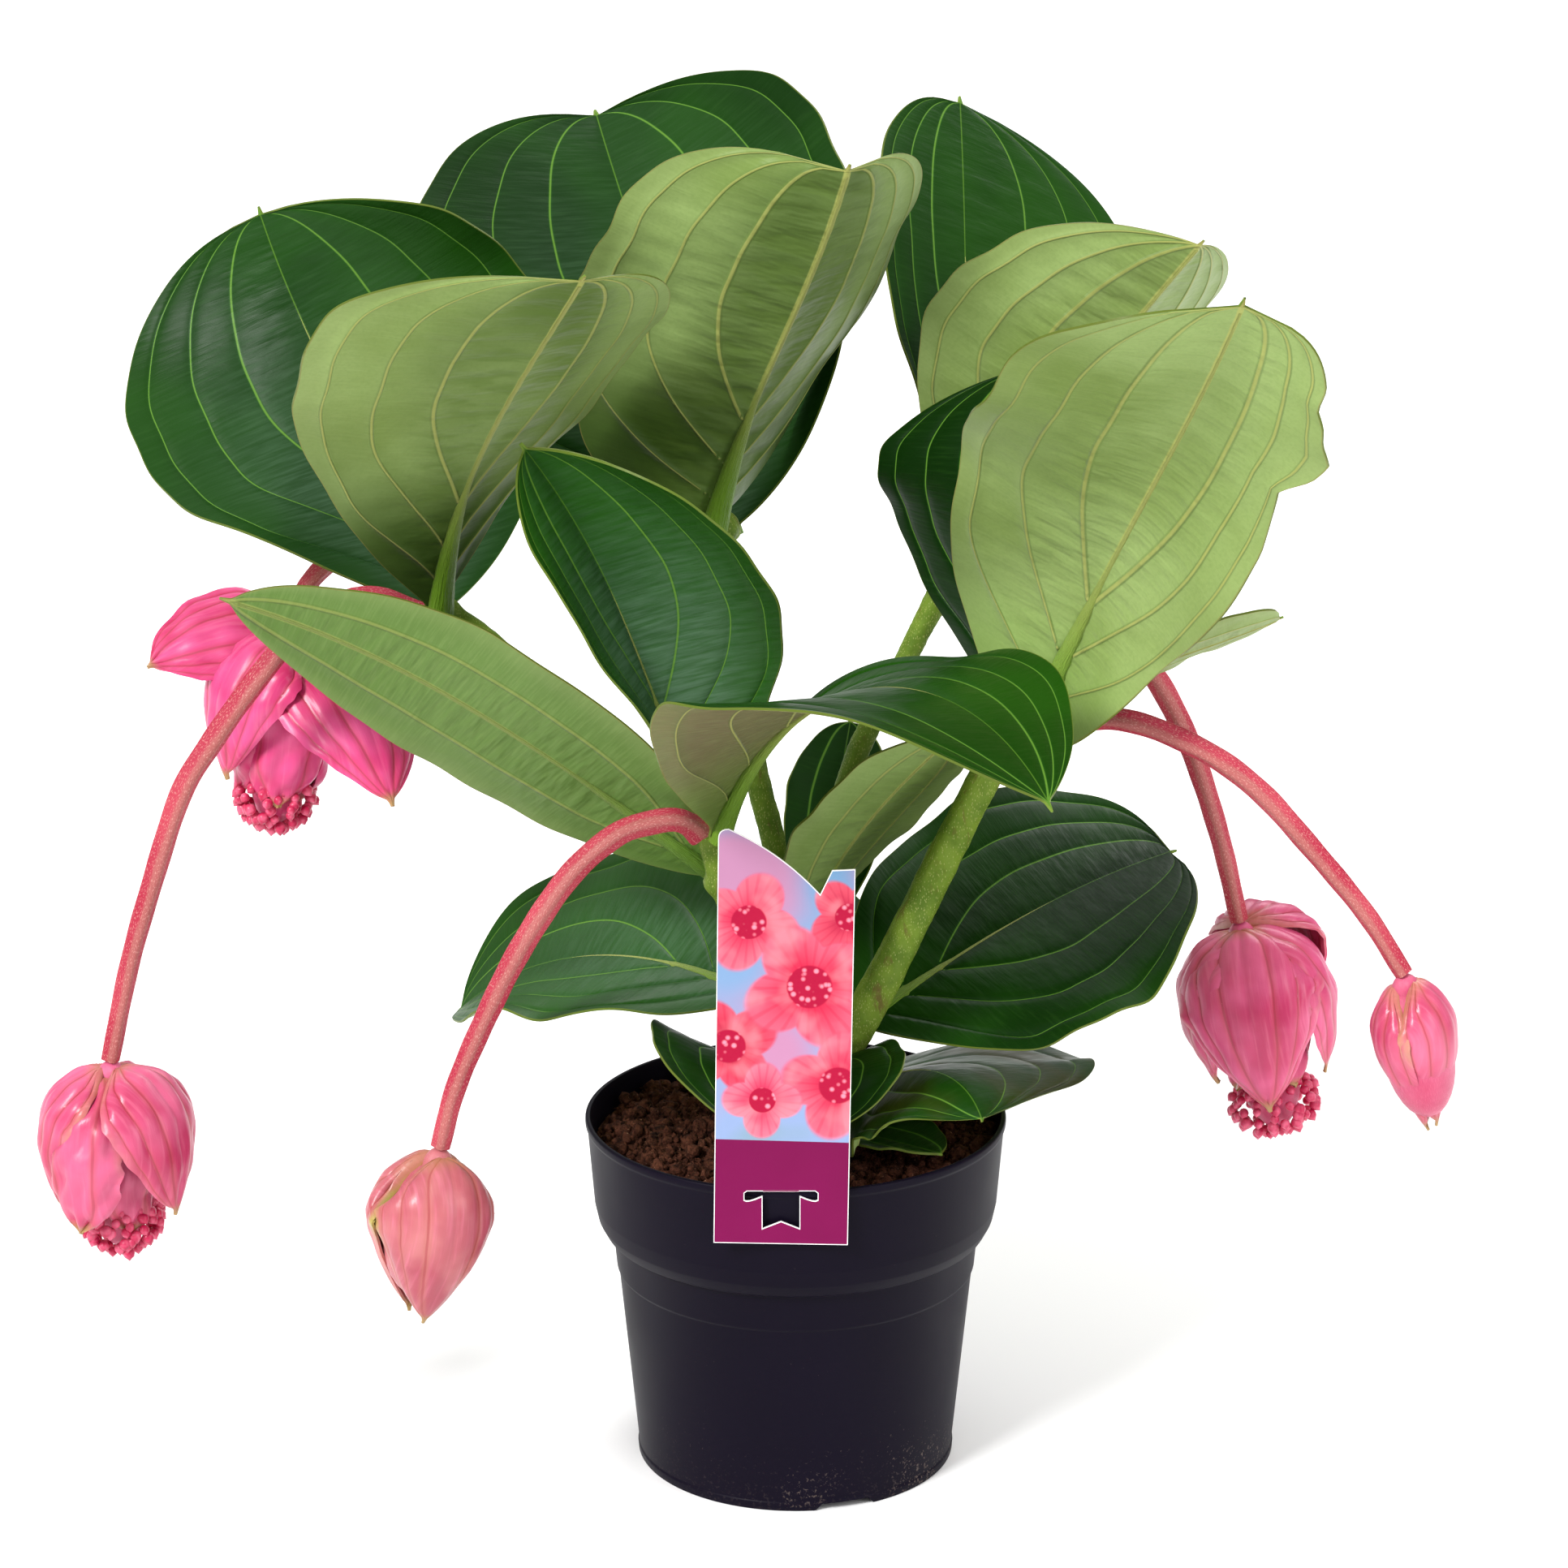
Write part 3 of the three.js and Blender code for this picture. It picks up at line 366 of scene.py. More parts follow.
# %% The blade's surface
def blade(name, shape, veins, rows, cells, seed, stub, tip_length, tip_half,
          quilt, groove, waves, crumple=0.0, margin=0.0):
    """A blade as an open sheet. Quilt, groove, waves, crumple and margin are heights in mm."""
    chance = np.random.default_rng(seed)
    piece, row, column = lattice(name, rows, 2 * cells * (len(veins) + 1) + 1)
    step = np.linspace(0, 1, rows)
    shares = 0.55 * step + 0.45 * (1 - np.cos(np.pi * step)) / 2
    phase = chance.uniform(0, 6.28, 8)
    half = half_width(shares, shape, stub, tip_length, tip_half)
    # Columns: from the midrib to the margin, in cells between one vein and the next.
    knots = [np.zeros(rows)]
    for rank, vein in enumerate(veins, 1):
        knots.append(np.maximum(vein_path(vein, shares), 0.055 * rank))
    knots.append(np.ones(rows))
    out = [np.zeros(rows)]
    for near, far in zip(knots, knots[1:]):
        crease = np.minimum(CREASE / np.maximum((far - near) * half, 0.1), 0.24)
        places = [crease + (1 - 2 * crease) * part for part in np.linspace(0, 1, cells - 1)]
        out += [near + (far - near) * place for place in (*places, 1)]
    out = np.array(out)
    across = np.vstack([out[:0:-1], -out]).T  # rows by columns, 1 at the left margin and -1 at the right
    side = np.sign(across)
    reach = np.abs(across)
    share = shares[:, None] + 0 * across
    lopsided = shape.get("lopsided", 0)
    uneven = 1 + 0.008 * np.sin(19 * share + phase[0] + side) + 0.005 * np.sin(43 * share + phase[1] - side)
    wide = half[:, None] * (1 + side * lopsided) * uneven
    hand = (side < 0).astype(int)
    fold = np.radians(shape["fold"])[hand]
    curl = np.radians(shape["curl"])[hand] * reach
    curl = np.where(np.abs(curl) < 1e-4, 1e-4, curl)
    sideways = side * wide * reach * (np.sin(fold + curl) - np.sin(fold)) / curl
    lift = wide * reach * (np.cos(fold) - np.cos(fold + curl)) / curl
    if "nicks" in shape:  # where one margin steps in and out, in mm
        sideways = sideways + np.maximum(side, 0) * reach ** 5 * np.interp(share, *shape["nicks"])
    ripple = np.where(side < 0, 0.15, 0.6)
    lift = lift + shape.get("ripple", 0) * reach ** 3 * np.sin(np.pi * share) * np.sin(
        2 * np.pi * (2.5 * share + ripple))
    lift = lift + margin * reach ** 5 * np.sin(np.pi * share) * np.sin(37 * share + phase[2] + 2 * side)
    spot, along, left, up = midrib(shape, shares)
    sheet = spot[:, None] + left[:, None] * sideways[..., None] + up[:, None] * lift[..., None]
    # Distance to the nearest side vein, to the midrib and to the margin, in mm.
    vein = np.full(across.shape, FAR)
    for rank, path in enumerate(veins):  # the outer veins are thinner
        gone = vein_path(path, share)
        distance = np.abs(reach - gone) * wide + np.where(gone <= 0.02, 4, 0)
        vein = np.minimum(vein, distance * (1 + 0.45 * rank))
    rib = reach * wide
    edge = np.minimum((1 - reach) * wide, (1 - share) * shape["size"][0])
    # The quilting, the creases and the cross waves, along the sheet's own normal.
    normal = np.cross(np.gradient(sheet, axis=0), np.gradient(sheet, axis=1))
    normal /= -np.linalg.norm(normal, axis=2, keepdims=True) - 1e-12
    open_skin = np.minimum(vein, rib)
    fade = np.clip(edge / 6, 0, 1) * np.clip(share / 0.12, 0, 1)
    height = quilt * (0.5 - np.exp(-(open_skin / 5) ** 1.3)) * fade
    height = height - groove * (np.exp(-(vein / 1.0) ** 2) + 1.3 * np.exp(-(rib / 1.6) ** 2)) * np.clip(
        1.15 - share, 0, 1)
    length = shape["size"][0]
    swell = np.sin(share * length / waves[1] * 2 * np.pi + 3 * reach + phase[3])
    swell = swell * (0.6 + 0.4 * np.sin(share * 9 + 4 * reach * side + phase[4]))
    near_rib = 1 + 1.2 * np.clip(1 - reach / 0.45, 0, 1) ** 0.5
    height = height + waves[0] * near_rib * swell * np.clip(open_skin / 6, 0, 1) * np.clip(edge / 10, 0, 1)
    rumple = np.sin(11 * share + 5 * across + phase[5]) * np.sin(7 * across - 13 * share + phase[6])
    rumple = rumple + 0.6 * np.sin(23 * share + 11 * across + phase[7])
    height = height + crumple * rumple * np.clip(share / 0.2, 0, 1)
    sheet = sheet + normal * height[..., None]
    move(piece, sheet[row, column])
    map_surface(piece, (across * wide)[row, column], (share * length)[row, column])
    for word, values in (("vein", vein), ("rib", rib), ("edge", edge), ("share", share), ("out", reach)):
        note(piece, word, values[row, column])
    return piece, spot, up, shares

# %% [markdown]
# Tubes serve for the midrib's keel, the stalks and the branches: a grid rolled round a smooth line.
# The seam is merged afterwards and both ends are closed, so the tube is one skin with no holes.

# %% A grid rolled into a tube
def smooth_line(points, count):
    """A smooth line through points, evenly spaced, and its directions."""
    points = np.asarray(points, float)
    far = np.concatenate([[0], np.cumsum(np.linalg.norm(np.diff(points[:, :3], axis=0), axis=1))])
    before, after = 2 * points[0] - points[1], 2 * points[-1] - points[-2]
    ends = np.vstack([before, points, after])
    fine = []
    for i in range(len(points) - 1):
        a, b, c, d = ends[i:i + 4]
        t = np.linspace(0, 1, 24, endpoint=i == len(points) - 2)[:, None]
        fine.append(0.5 * (2 * b + (c - a) * t + (2 * a - 5 * b + 4 * c - d) * t ** 2
                           + (3 * b - a - 3 * c + d) * t ** 3))
    fine = np.vstack(fine)
    run = np.concatenate([[0], np.cumsum(np.linalg.norm(np.diff(fine[:, :3], axis=0), axis=1))])
    even = np.linspace(0, run[-1], count)
    line = np.stack([np.interp(even, run, fine[:, k]) for k in range(fine.shape[1])], 1)
    heading = np.gradient(line[:, :3], axis=0)
    heading /= np.linalg.norm(heading, axis=1, keepdims=True)
    return line, heading, even


def tube(name, points, radius, around=20, step=3.0, section=None, start=(0, 0, 1)):
    """A tube through points. Radius is in mm, one value or one for each of the line's places."""
    length = np.linalg.norm(np.diff(np.asarray(points, float)[:, :3], axis=0), axis=1).sum()
    count = max(4, int(length / step))
    line, heading, even = smooth_line(points, count)
    radius = np.broadcast_to(radius(even / even[-1]) if callable(radius) else radius, count)
    normal = np.array(start, float)
    sides = []
    for direction in heading:
        normal = normal - direction * normal.dot(direction)
        normal /= np.linalg.norm(normal)
        sides.append(normal)
    sides = np.array(sides)
    other = np.cross(heading, sides)
    piece, row, column = lattice(name, count, around + 1)
    angle = column / around * 2 * np.pi
    reach = radius[row] * (section(angle, row / (count - 1)) if section else 1)
    move(piece, line[row, :3] + sides[row] * (reach * np.cos(angle))[:, None]
         + other[row] * (reach * np.sin(angle))[:, None])
    map_surface(piece, column / around / MM, even[row])
    pick(piece)
    edit()
    bpy.ops.mesh.remove_doubles(threshold=1e-6)
    bpy.ops.mesh.select_all(action="DESELECT")
    bpy.ops.mesh.select_non_manifold()
    bpy.ops.mesh.edge_face_add()
    bpy.ops.mesh.select_all(action="SELECT")
    bpy.ops.mesh.normals_make_consistent(inside=False)
    edit("OBJECT")
    return piece

# %% [markdown]
# ## Leaf finishes
# The upper side is a deep green with a soft shine. Yellow-green veins lie in its creases, and fine
# cross veins run between them and break up the shine. The margin is a thin pale line.
# The underside is a satin yellow-green with brownish veins that stand out. Both read the distances
# written on the grid, so the lines stay sharp and follow each leaf.
# Six more numbers tell single leaves apart: tone (how light the green; on the middle leaf at the back it is
# partly painted light), a painted sheen (a pale reflection of the room, painted on), tinge (brown patches),
# shade (a darker underside), a painted shade that makes a leaf dark and puckered towards its foot, and
# russet (a brownish underside). The painted reflection and the painted shade don't move with the light.

# %% Upper side of a leaf
upper = Finish("leaf_upper", IOR=1.25, Specular_IOR_Level=0.27, Coat_Weight=0.02, Coat_Roughness=0.3)
across_veins = upper.noise(1, 3, 0.55, upper.places((50, 620, 1), uv=True))
puffs = upper.noise(1, 2, 0.5, upper.places((55, 120, 1), uv=True))
# How light the green is: each leaf's own tone, plus painted light on the middle leaf at the back, made
# lighter as if it caught the pale room's light.
lightness = upper.math("ADD", upper.span(upper.noise(14, 2, 0.5), 0.3, 0.7, (0, 0.4)),
                       upper.attribute("tone"))
# Painted reflection: a pale bluish sheen where a leaf would mirror the pale room, strongest near its foot and
# midrib.
painted_sheen_mask = upper.times(upper.span(across_veins, 0.3, 0.7, (0.4, 1)), upper.attribute("painted_sheen"),
                    upper.by("share", 0.85, 0.3, (0.2, 1)), upper.by("out", 0.95, 0.35, (0.15, 1)))
brown = upper.times(upper.span(upper.noise(24, 2), 0.4, 0.65), upper.attribute("tinge"))
rib_width = upper.by("share", 0, 0.4, (2.0, 0.25))
rib_mask = upper.span(upper.math("SUBTRACT", rib_width, upper.attribute("rib")), -0.3, 0.4, (0, 0.85))
skin = upper.coats(
    upper.blend(lightness, (12, 42, 6), (34, 84, 10)),
    (upper.span(across_veins, 0.5, 0.8, (0, 0.2)), (44, 86, 22)),
    # painted reflection of the pale room
    (painted_sheen_mask, (98, 128, 104)),
    (upper.by("vein", 1.6, 0.2, (0, 0.35)), (30, 84, 24)),
    (upper.by("vein", 0.7, 0.2, (0, 0.8)), (100, 144, 52)),
    (brown, (84, 62, 26)),
    (rib_mask, (92, 136, 44)),
    (upper.by("edge", 0.5, 0.15, (0, 0.55)), (120, 132, 54)))
upper.relief(upper.times(puffs, upper.by("out", 0.9, 0.3)), 0.2, 0.004)
upper.relief(across_veins, 0.35, 0.0005)
upper.relief(upper.noise(900, 2), 0.1, 0.0002)
LEAF_UPPER = upper.use(skin, upper.math("ADD", upper.span(across_veins, 0.3, 0.8, (0.32, 0.44)),
                                        upper.span(upper.noise(40, 3), 0.4, 0.8, (0, 0.08))))

# %% Underside of a leaf
under = Finish("leaf_under", IOR=1.3, Specular_IOR_Level=0.4, Sheen_Weight=0.04)
patches = under.noise(16, 3, 0.5)
fibres = under.noise(1, 2, 0.5, under.places((70, 950, 1), uv=True))
specks = under.noise(700, 2, 0.5)
puffs = under.noise(1, 2, 0.5, under.places((42, 150, 1), uv=True))
near_foot = under.math("MAXIMUM", under.by("share", 0.6, 0.15), under.by("out", 0.75, 0.15, (0, 0.75)))
# Painted shade: the underside darkens towards its foot and in puckers near the midrib, as if in the shade of
# the leaf's cup.
painted_foot_shade = under.times(near_foot, under.attribute("painted_hollow_shade"),
                        under.span(under.noise(11, 2), 0.35, 0.62, (0.55, 1)))
painted_pucker_shade = under.times(under.span(puffs, 0.52, 0.36, (0, 0.55)), under.attribute("painted_hollow_shade"),
                      under.by("out", 0.55, 0.2))
plain = under.by("shade", 0, 1, (1, 0.35))  # the veins of a shaded leaf hardly show
rib_color = under.blend(under.by("share", 0.05, 0.5), (104, 144, 30), (170, 172, 94))
skin = under.coats(
    under.blend(under.span(patches, 0.3, 0.72), (120, 142, 72), (145, 167, 99)),
    (under.attribute("shade"), (70, 104, 38)),
    (under.attribute("russet"), (96, 90, 56)),
    (under.span(fibres, 0.4, 0.75, (0, 0.1)), (166, 188, 118)),
    (under.span(specks, 0.4, 0.7, (0, 0.12)), (84, 116, 44)),
    (under.by("out", 0.7, 1.0, (0, 0.25)), (140, 156, 96)),
    (under.by("share", 0.3, 0.0, (0, 0.5)), (86, 126, 30)),
    # painted shade towards the foot and in the puckers
    (painted_foot_shade, (56, 80, 24)),
    (painted_pucker_shade, (88, 112, 46)),
    # painted shade: a darker band on each side of a vein, where the raised vein would shade the skin
    (under.by("vein", 2.0, 0.7, (0, 0.3)), (96, 120, 50)),
    (under.times(under.by("vein", 0.9, 0.45, (0, 0.6)), plain), (168, 168, 92)),
    (under.times(under.by("rib", 1.5, 0.9, (0, 0.8)), plain), rib_color),
    (under.by("edge", 0.6, 0.2, (0, 0.55)), (132, 118, 62)))
under.relief(under.noise(30, 3), 0.3, 0.008)
under.relief(under.times(puffs, under.by("out", 0.8, 0.25)), 0.5, 0.004)
under.relief(under.by("vein", 1.5, 0.3), 0.6, 0.001)
under.relief(fibres, 0.22, 0.0004)
under.relief(specks, 0.12, 0.0002)
LEAF_UNDER = under.use(skin, under.span(patches, 0.3, 0.7, (0.42, 0.55)))

# %% [markdown]
# ## Leaves
# A leaf could be one subdivided plane pushed about by hand, but twenty of them differ only in the
# numbers below, so one way of making serves all. Solidify gives the sheet its thickness and puts the
# underside's finish on the new face. The keel under the midrib is a tapering tube that is widest where
# the side veins still run inside it.
# Angles are in degrees and lengths in mm. The nicks of one leaf are shares of its length, and how far
# its left margin steps out there.

# %% The leaves, with the same values as the solids
# Size is the length and the width. A lopsided leaf has the wider half on its left, or on its right where
# the number is negative. Ripple is the height of the margin's long waves.
LEAVES = {
    "leaf_left_back": dict(foot=[-139, -6, 356], heading=128, swing=17, rise=[54, 69], bow=-10,
        roll=[14, -72], size=[182, 172], swell=[0.74, 0.48], fold=[-4, 13], curl=[7, 17],
        ripple=2, lopsided=-0.05),
    "leaf_left_front": dict(foot=[-139, -18, 360], heading=-45, swing=-11, rise=[80, 45], bow=-11,
        roll=[1, -4], size=[182, 152], swell=[0.96, 0.41], fold=[2, 4], curl=[13, 12],
        ripple=2, lopsided=-0.21),
    "leaf_top_back": dict(foot=[-27, 64, 372], heading=128, swing=-23, rise=[64, 33], bow=0,
        roll=[-30, -3], size=[207, 203], swell=[0.69, 0.55], fold=[7, 22], curl=[19, 33], ripple=2),
    "leaf_top_front": dict(foot=[-33, 18, 387], heading=-38, swing=-23, rise=[72, 62], bow=-9,
        roll=[-11, -4], size=[174, 150], swell=[0.36, 0.3], fold=[14, 20], curl=[24, 27],
        ripple=3, lopsided=-0.09),
    "leaf_rear_back": dict(foot=[68, 47, 371], heading=88, swing=4, rise=[73, 44], bow=-2,
        roll=[30, 17], size=[198, 140], swell=[0.97, 0.46], fold=[8, -17], curl=[16, -2],
        ripple=2, lopsided=-0.36),
    "leaf_rear_front": dict(foot=[68, 33, 374], heading=-5, swing=-29, rise=[58, 49], bow=0,
        roll=[-36, -16], size=[160, 158], swell=[0.9, 0.74], fold=[9, 29], curl=[16, 26],
        ripple=2, lopsided=0.11),
    "leaf_right_front": dict(foot=[92, -30, 315], heading=-54, swing=-25, rise=[63, 44], bow=-4,
        roll=[-71, 4], size=[259, 123], swell=[0.42, 0.27], fold=[-27, -1], curl=[-9, 7],
        ripple=6, lopsided=-0.19,
        nicks=[[0.58, 0.63, 0.69, 0.73, 0.77, 0.81, 0.84, 0.87, 0.9], [0, -3, -6, 3, 6, 1, 0, -3, 0]]),
    "leaf_right_back": dict(foot=[80, -20, 320], heading=65, swing=5, rise=[86, 18], bow=39,
        roll=[-29, -17], size=[148, 124], swell=[0.94, 0.56], fold=[-5, -25], curl=[6, -8], ripple=2,
        lopsided=0.06),
    "leaf_right_low": dict(foot=[94, -20, 320], heading=-1, swing=7, rise=[28, 21], bow=-5,
        roll=[-22, -13], size=[103, 59], swell=[0.68, 0.26], fold=[-9, 8], curl=[4, 17], ripple=1),
    "leaf_middle_back": dict(foot=[-38, -36, 283], heading=176, swing=14, rise=[71, 53], bow=6,
        roll=[-20, -79], size=[165, 108], swell=[0.88, 0.57], fold=[15, 53], curl=[26, 42],
        ripple=2, lopsided=-0.37),
    "leaf_middle_arched": dict(foot=[-31, -52, 281], heading=-30, swing=-34, rise=[71, -36], bow=-3,
        roll=[10, -10], size=[226, 155], swell=[1.05, 0.92], fold=[0, 1], curl=[12, 10],
        ripple=4, lopsided=-0.3),
    "leaf_long_left": dict(foot=[-30, -29, 257], heading=193, swing=-8, rise=[38, 17], bow=7,
        roll=[41, 73], size=[228, 79], swell=[0.55, 0.72], fold=[-3, -3], curl=[7, 10], ripple=1),
    "leaf_inner_light": dict(foot=[2, 5, 218], heading=-26, swing=-2, rise=[72, 44], bow=-5,
        roll=[-2, -19], size=[119, 76], swell=[0.71, 0.61], fold=[-6, 4], curl=[6, 12], ripple=1),
    "leaf_inner_dark": dict(foot=[8, 13, 217], heading=79, swing=-7, rise=[52, 57], bow=-5,
        roll=[12, -3], size=[96, 46], swell=[0.72, 0.52], fold=[15, 10], curl=[24, 18], ripple=1,
        lopsided=-0.06),
    "leaf_low_right": dict(foot=[25, -23, 192], heading=32, swing=-21, rise=[25, 14], bow=4,
        roll=[20, -4], size=[152, 182], swell=[0.79, 0.39], fold=[7, 0], curl=[15, 9],
        ripple=3, lopsided=-0.17),
    "leaf_low_left": dict(foot=[-15, -29, 205], heading=146, swing=22, rise=[17, -46], bow=6,
        roll=[-14, -5], size=[146, 137], swell=[0.72, 0.59], fold=[2, 8], curl=[11, 16], ripple=3),
    "leaf_low_front": dict(foot=[-1, -19, 163], heading=-95, swing=5, rise=[62, -62], bow=-2,
        roll=[6, -8], size=[74, 106], swell=[0.8, 0.7], fold=[5, 8], curl=[19, 22], ripple=1,
        lopsided=-0.1),
    "leaf_low_back": dict(foot=[-2, -3, 168], heading=96, swing=10, rise=[34, -18], bow=4,
        roll=[4, -6], size=[128, 94], swell=[0.66, 0.55], fold=[10, 10], curl=[18, 18], ripple=2),
    "leaf_rim_right": dict(foot=[11, -17, 157], heading=-12, swing=-42, rise=[27, -64], bow=35,
        roll=[8, -3], size=[86, 174], swell=[0.48, 0.61], fold=[-16, -16], curl=[-1, 0], ripple=3,
        lopsided=0.44),
    "leaf_rim_under": dict(foot=[7, -13, 148], heading=-28, swing=-12, rise=[-6, 0], bow=2,
        roll=[-6, -4], size=[62, 44], swell=[0.7, 0.6], fold=[4, 4], curl=[10, 10], ripple=1),
}
# Where a side vein runs to (a share of the half width), where it leaves the midrib, how far on it bends.
LEAF_VEINS = [(0.36, 0.26, 0.36), (0.63, 0.14, 0.34), (0.87, 0.05, 0.26)]
SLIM_VEINS = [(0.5, 0.06, 0.2)]
LIGHT_LEAVES = {"leaf_left_front", "leaf_top_front", "leaf_rear_front", "leaf_right_front",
                "leaf_right_low", "leaf_long_left", "leaf_inner_light", "leaf_rim_under"}
# How much single leaves have of each painted number. A tone below 0 makes a leaf darker. The sheen is a
# painted reflection of the pale room, the dark foot is painted shade, and the middle leaf at the back has a
# lighter tone that is painted light.
PAINTED = {
    "tone": {"leaf_left_back": 0.2, "leaf_top_back": 0.1, "leaf_middle_arched": 0.3, "leaf_low_left": 0.45,
             "leaf_rear_back": 0.2, "leaf_middle_back": 0.5, "leaf_right_back": -0.4},
    # painted reflection of the pale room on these leaves
    "painted_sheen": {"leaf_middle_back": 0.65, "leaf_left_back": 0.3, "leaf_top_back": 0.25, "leaf_low_left": 0.3},
    "shade": {"leaf_long_left": 0.75, "leaf_top_front": 0.12, "leaf_inner_light": 0.2},
    # painted shade towards the foot of these two leaves
    "painted_hollow_shade": {"leaf_left_front": 0.95, "leaf_top_front": 1.0},
    "russet": {"leaf_middle_arched": 1.0},
    "tinge": {"leaf_rim_right": 0.3},
}
FLAT = 0.988  # a smooth leaf bulges past the solid's flat facets, so it is made a little smaller
SLIM = 80  # mm, a leaf narrower than this has one pair of side veins
BLADE_THICKNESS = 0.9


def leaf_keel(name, shape, spot, up, shares):
    """The thick part of the midrib, under the blade, from its foot on."""
    girth = 0.55 + 0.45 * min(1, shape["size"][1] / 140)
    width = lambda share: girth * (0.7 + 4.3 * np.clip(1 - share / 0.34, 0, 1) ** 0.9 + 0.9 * (1 - share))
    points = spot - up * (girth * (0.9 + 1.6 * np.clip(1 - shares / 0.3, 0, 1)))[:, None]
    back = points[0] - points[1]
    behind = points[0] + back / np.linalg.norm(back) * 2.5
    keel = tube(name + "_keel", np.vstack([behind, points]), width, around=12, step=4, start=up[0],
                section=lambda angle, share: 1 - 0.3 * np.cos(angle) ** 2)
    paint(keel, LEAF_UPPER, LEAF_UNDER)
    for face in keel.data.polygons:
        face.material_index = 1
    places = np.empty(len(keel.data.vertices) * 3)
    keel.data.vertices.foreach_get("co", places)
    reach = np.linalg.norm(places.reshape(-1, 3) / MM - spot[0], axis=1) / shape["size"][0]
    for word, value in (("vein", FAR), ("edge", FAR), ("rib", 0), ("out", 0)):
        note(keel, word, value)
    note(keel, "share", np.clip(reach, 0, 1))
    return keel


def leaf(number, name, shape):
    shape = dict(shape, size=[side * FLAT for side in shape["size"]])
    slim = shape["size"][1] < SLIM
    light = name in LIGHT_LEAVES
    quilt, groove, waves = (0.95 if light else 0.5), 0.55, (0.27 if light else 0.07, 11)
    if slim:
        quilt, groove, waves = 0.4, 0.3, (0.1, 9)
    piece, spot, up, shares = blade(
        name, shape, SLIM_VEINS if slim else LEAF_VEINS, rows=96, cells=7, seed=100 + number, stub=4,
        tip_length=0.05, tip_half=2.2, quilt=quilt, groove=groove, waves=waves, margin=0.4)
    paint(piece, LEAF_UPPER, LEAF_UNDER)
    modify(piece, "SOLIDIFY", thickness=BLADE_THICKNESS * MM, offset=0, material_offset=1,
           material_offset_rim=0, use_even_offset=False)
    keel = leaf_keel(name, shape, spot[::6], up[::6], shares[::6])
    piece = merge(piece, keel)
    for word, leaves in PAINTED.items():
        note(piece, word, leaves.get(name, 0.0))
    dress(piece, name)


for number, (name, shape) in enumerate(LEAVES.items()):
    leaf(number, name, shape)
print("leaves:", len(LEAVES))

# %% [markdown]
# ## Stem
# The woody stem is green while young, with pale specks and brown corky patches, and swells at its
# nodes. Tubes and balls would show their joints, so they are joined, remeshed into one skin, smoothed,
# and roughened with a displacement before the finish goes on.
# Each branch is a line of places in mm, with the branch's radius there as the fourth number.

# %% Bark
bark = Finish("stem_bark", Specular_IOR_Level=0.2)
cork = bark.noise(1, 4, 0.65, bark.places((130, 130, 45)), 0.6)
specks = bark.cells(1, bark.places((1400, 1400, 650)))
skin = bark.coats(
    bark.blend(bark.span(bark.noise(70, 4, 0.6), 0.3, 0.7), (86, 114, 30), (118, 144, 46)),
    (bark.span(specks, 0.36, 0.12, (0, 0.65)), (176, 180, 104)),
    (bark.span(cork, 0.57, 0.7, (0, 0.8)), (104, 84, 46)))
bark.relief(cork, 0.6, 0.0012)
bark.relief(specks, 0.35, 0.0003)
STEM_BARK = bark.use(skin, bark.span(cork, 0.4, 0.7, (0.5, 0.8)))

# %% The stem
BRANCHES = {
    "trunk": [[0, -7, 112, 9], [0, -9, 145, 9], [0, -12, 182, 8.5]],
    "left": [[0, -12, 178, 6.5], [-12, -7, 226, 6], [-32, 0, 254, 5.5], [-58, 2, 280, 5],
             [-90, 0, 313, 5], [-119, -6, 343, 5], [-137, -11, 357, 6]],
    "top": [[0, -12, 174, 6], [-3, -3, 215, 5.5], [-8, 6, 254, 5], [-16, 14, 286, 5],
            [-26, 24, 346, 5], [-31, 29, 380, 6]],
    "topSide": [[-31, 29, 380, 5.5], [-30, 45, 377, 5.5], [-28, 60, 373, 5.5]],
    "rear": [[-1, -11, 168, 6], [1, 2, 196, 5.5], [5, 10, 224, 5], [23, 20, 287, 4.5],
             [37, 28, 313, 4.5], [53, 34, 345, 4.5], [67, 38, 369, 6]],
    "right": [[2, -12, 155, 8], [12, -22, 171, 7.5], [24, -27, 192, 7.5], [40, -26, 224, 7],
              [57, -24, 260, 7], [74, -22, 295, 6.5], [87, -20, 320, 7]],
    "middle": [[-1, -12, 168, 6], [-9, -24, 203, 5.5], [-20, -32, 231, 5], [-29, -38, 256, 5],
               [-34, -42, 283, 6]],
}
# The swollen nodes, each as a place and a radius.
NODES = [
    [-138, -11, 357, 8.5], [-31, 27, 382, 9], [-28, 59, 373, 6.5], [68, 39, 371, 8.5],
    [88, -23, 319, 10], [-34, -43, 283, 8.5], [-29, -37, 256, 7.5], [3, 8, 216, 7.5], [22, -26, 190, 9],
    [-9, -26, 205, 7.5], [0, -10, 162, 10.5],
]
NODE_FLATNESS = 0.82
square = lambda angle, share: 1 + 0.07 * np.cos(4 * angle)
parts = []
for name, points in BRANCHES.items():
    radii = np.array(points, float)[:, 3]
    places = np.linspace(0, 1, len(radii))
    girth = lambda share, radii=radii, places=places: np.interp(share, places, radii)
    parts.append(tube("branch_" + name, points, girth, around=24, section=square))
for x, y, z, radius in NODES:
    deselect()
    bpy.ops.mesh.primitive_uv_sphere_add(segments=24, ring_count=16, radius=radius * MM,
                                         location=(x * MM, y * MM, z * MM))
    bpy.ops.object.transform_apply(location=True)
    bpy.ops.transform.resize(value=(1.0, 1.0, NODE_FLATNESS), center_override=(x * MM, y * MM, z * MM))
    bpy.ops.object.transform_apply(location=True, scale=True)
    parts.append(bpy.context.object)
stem = merge(*parts)
modify(stem, "REMESH", mode="VOXEL", voxel_size=1.3 * MM)
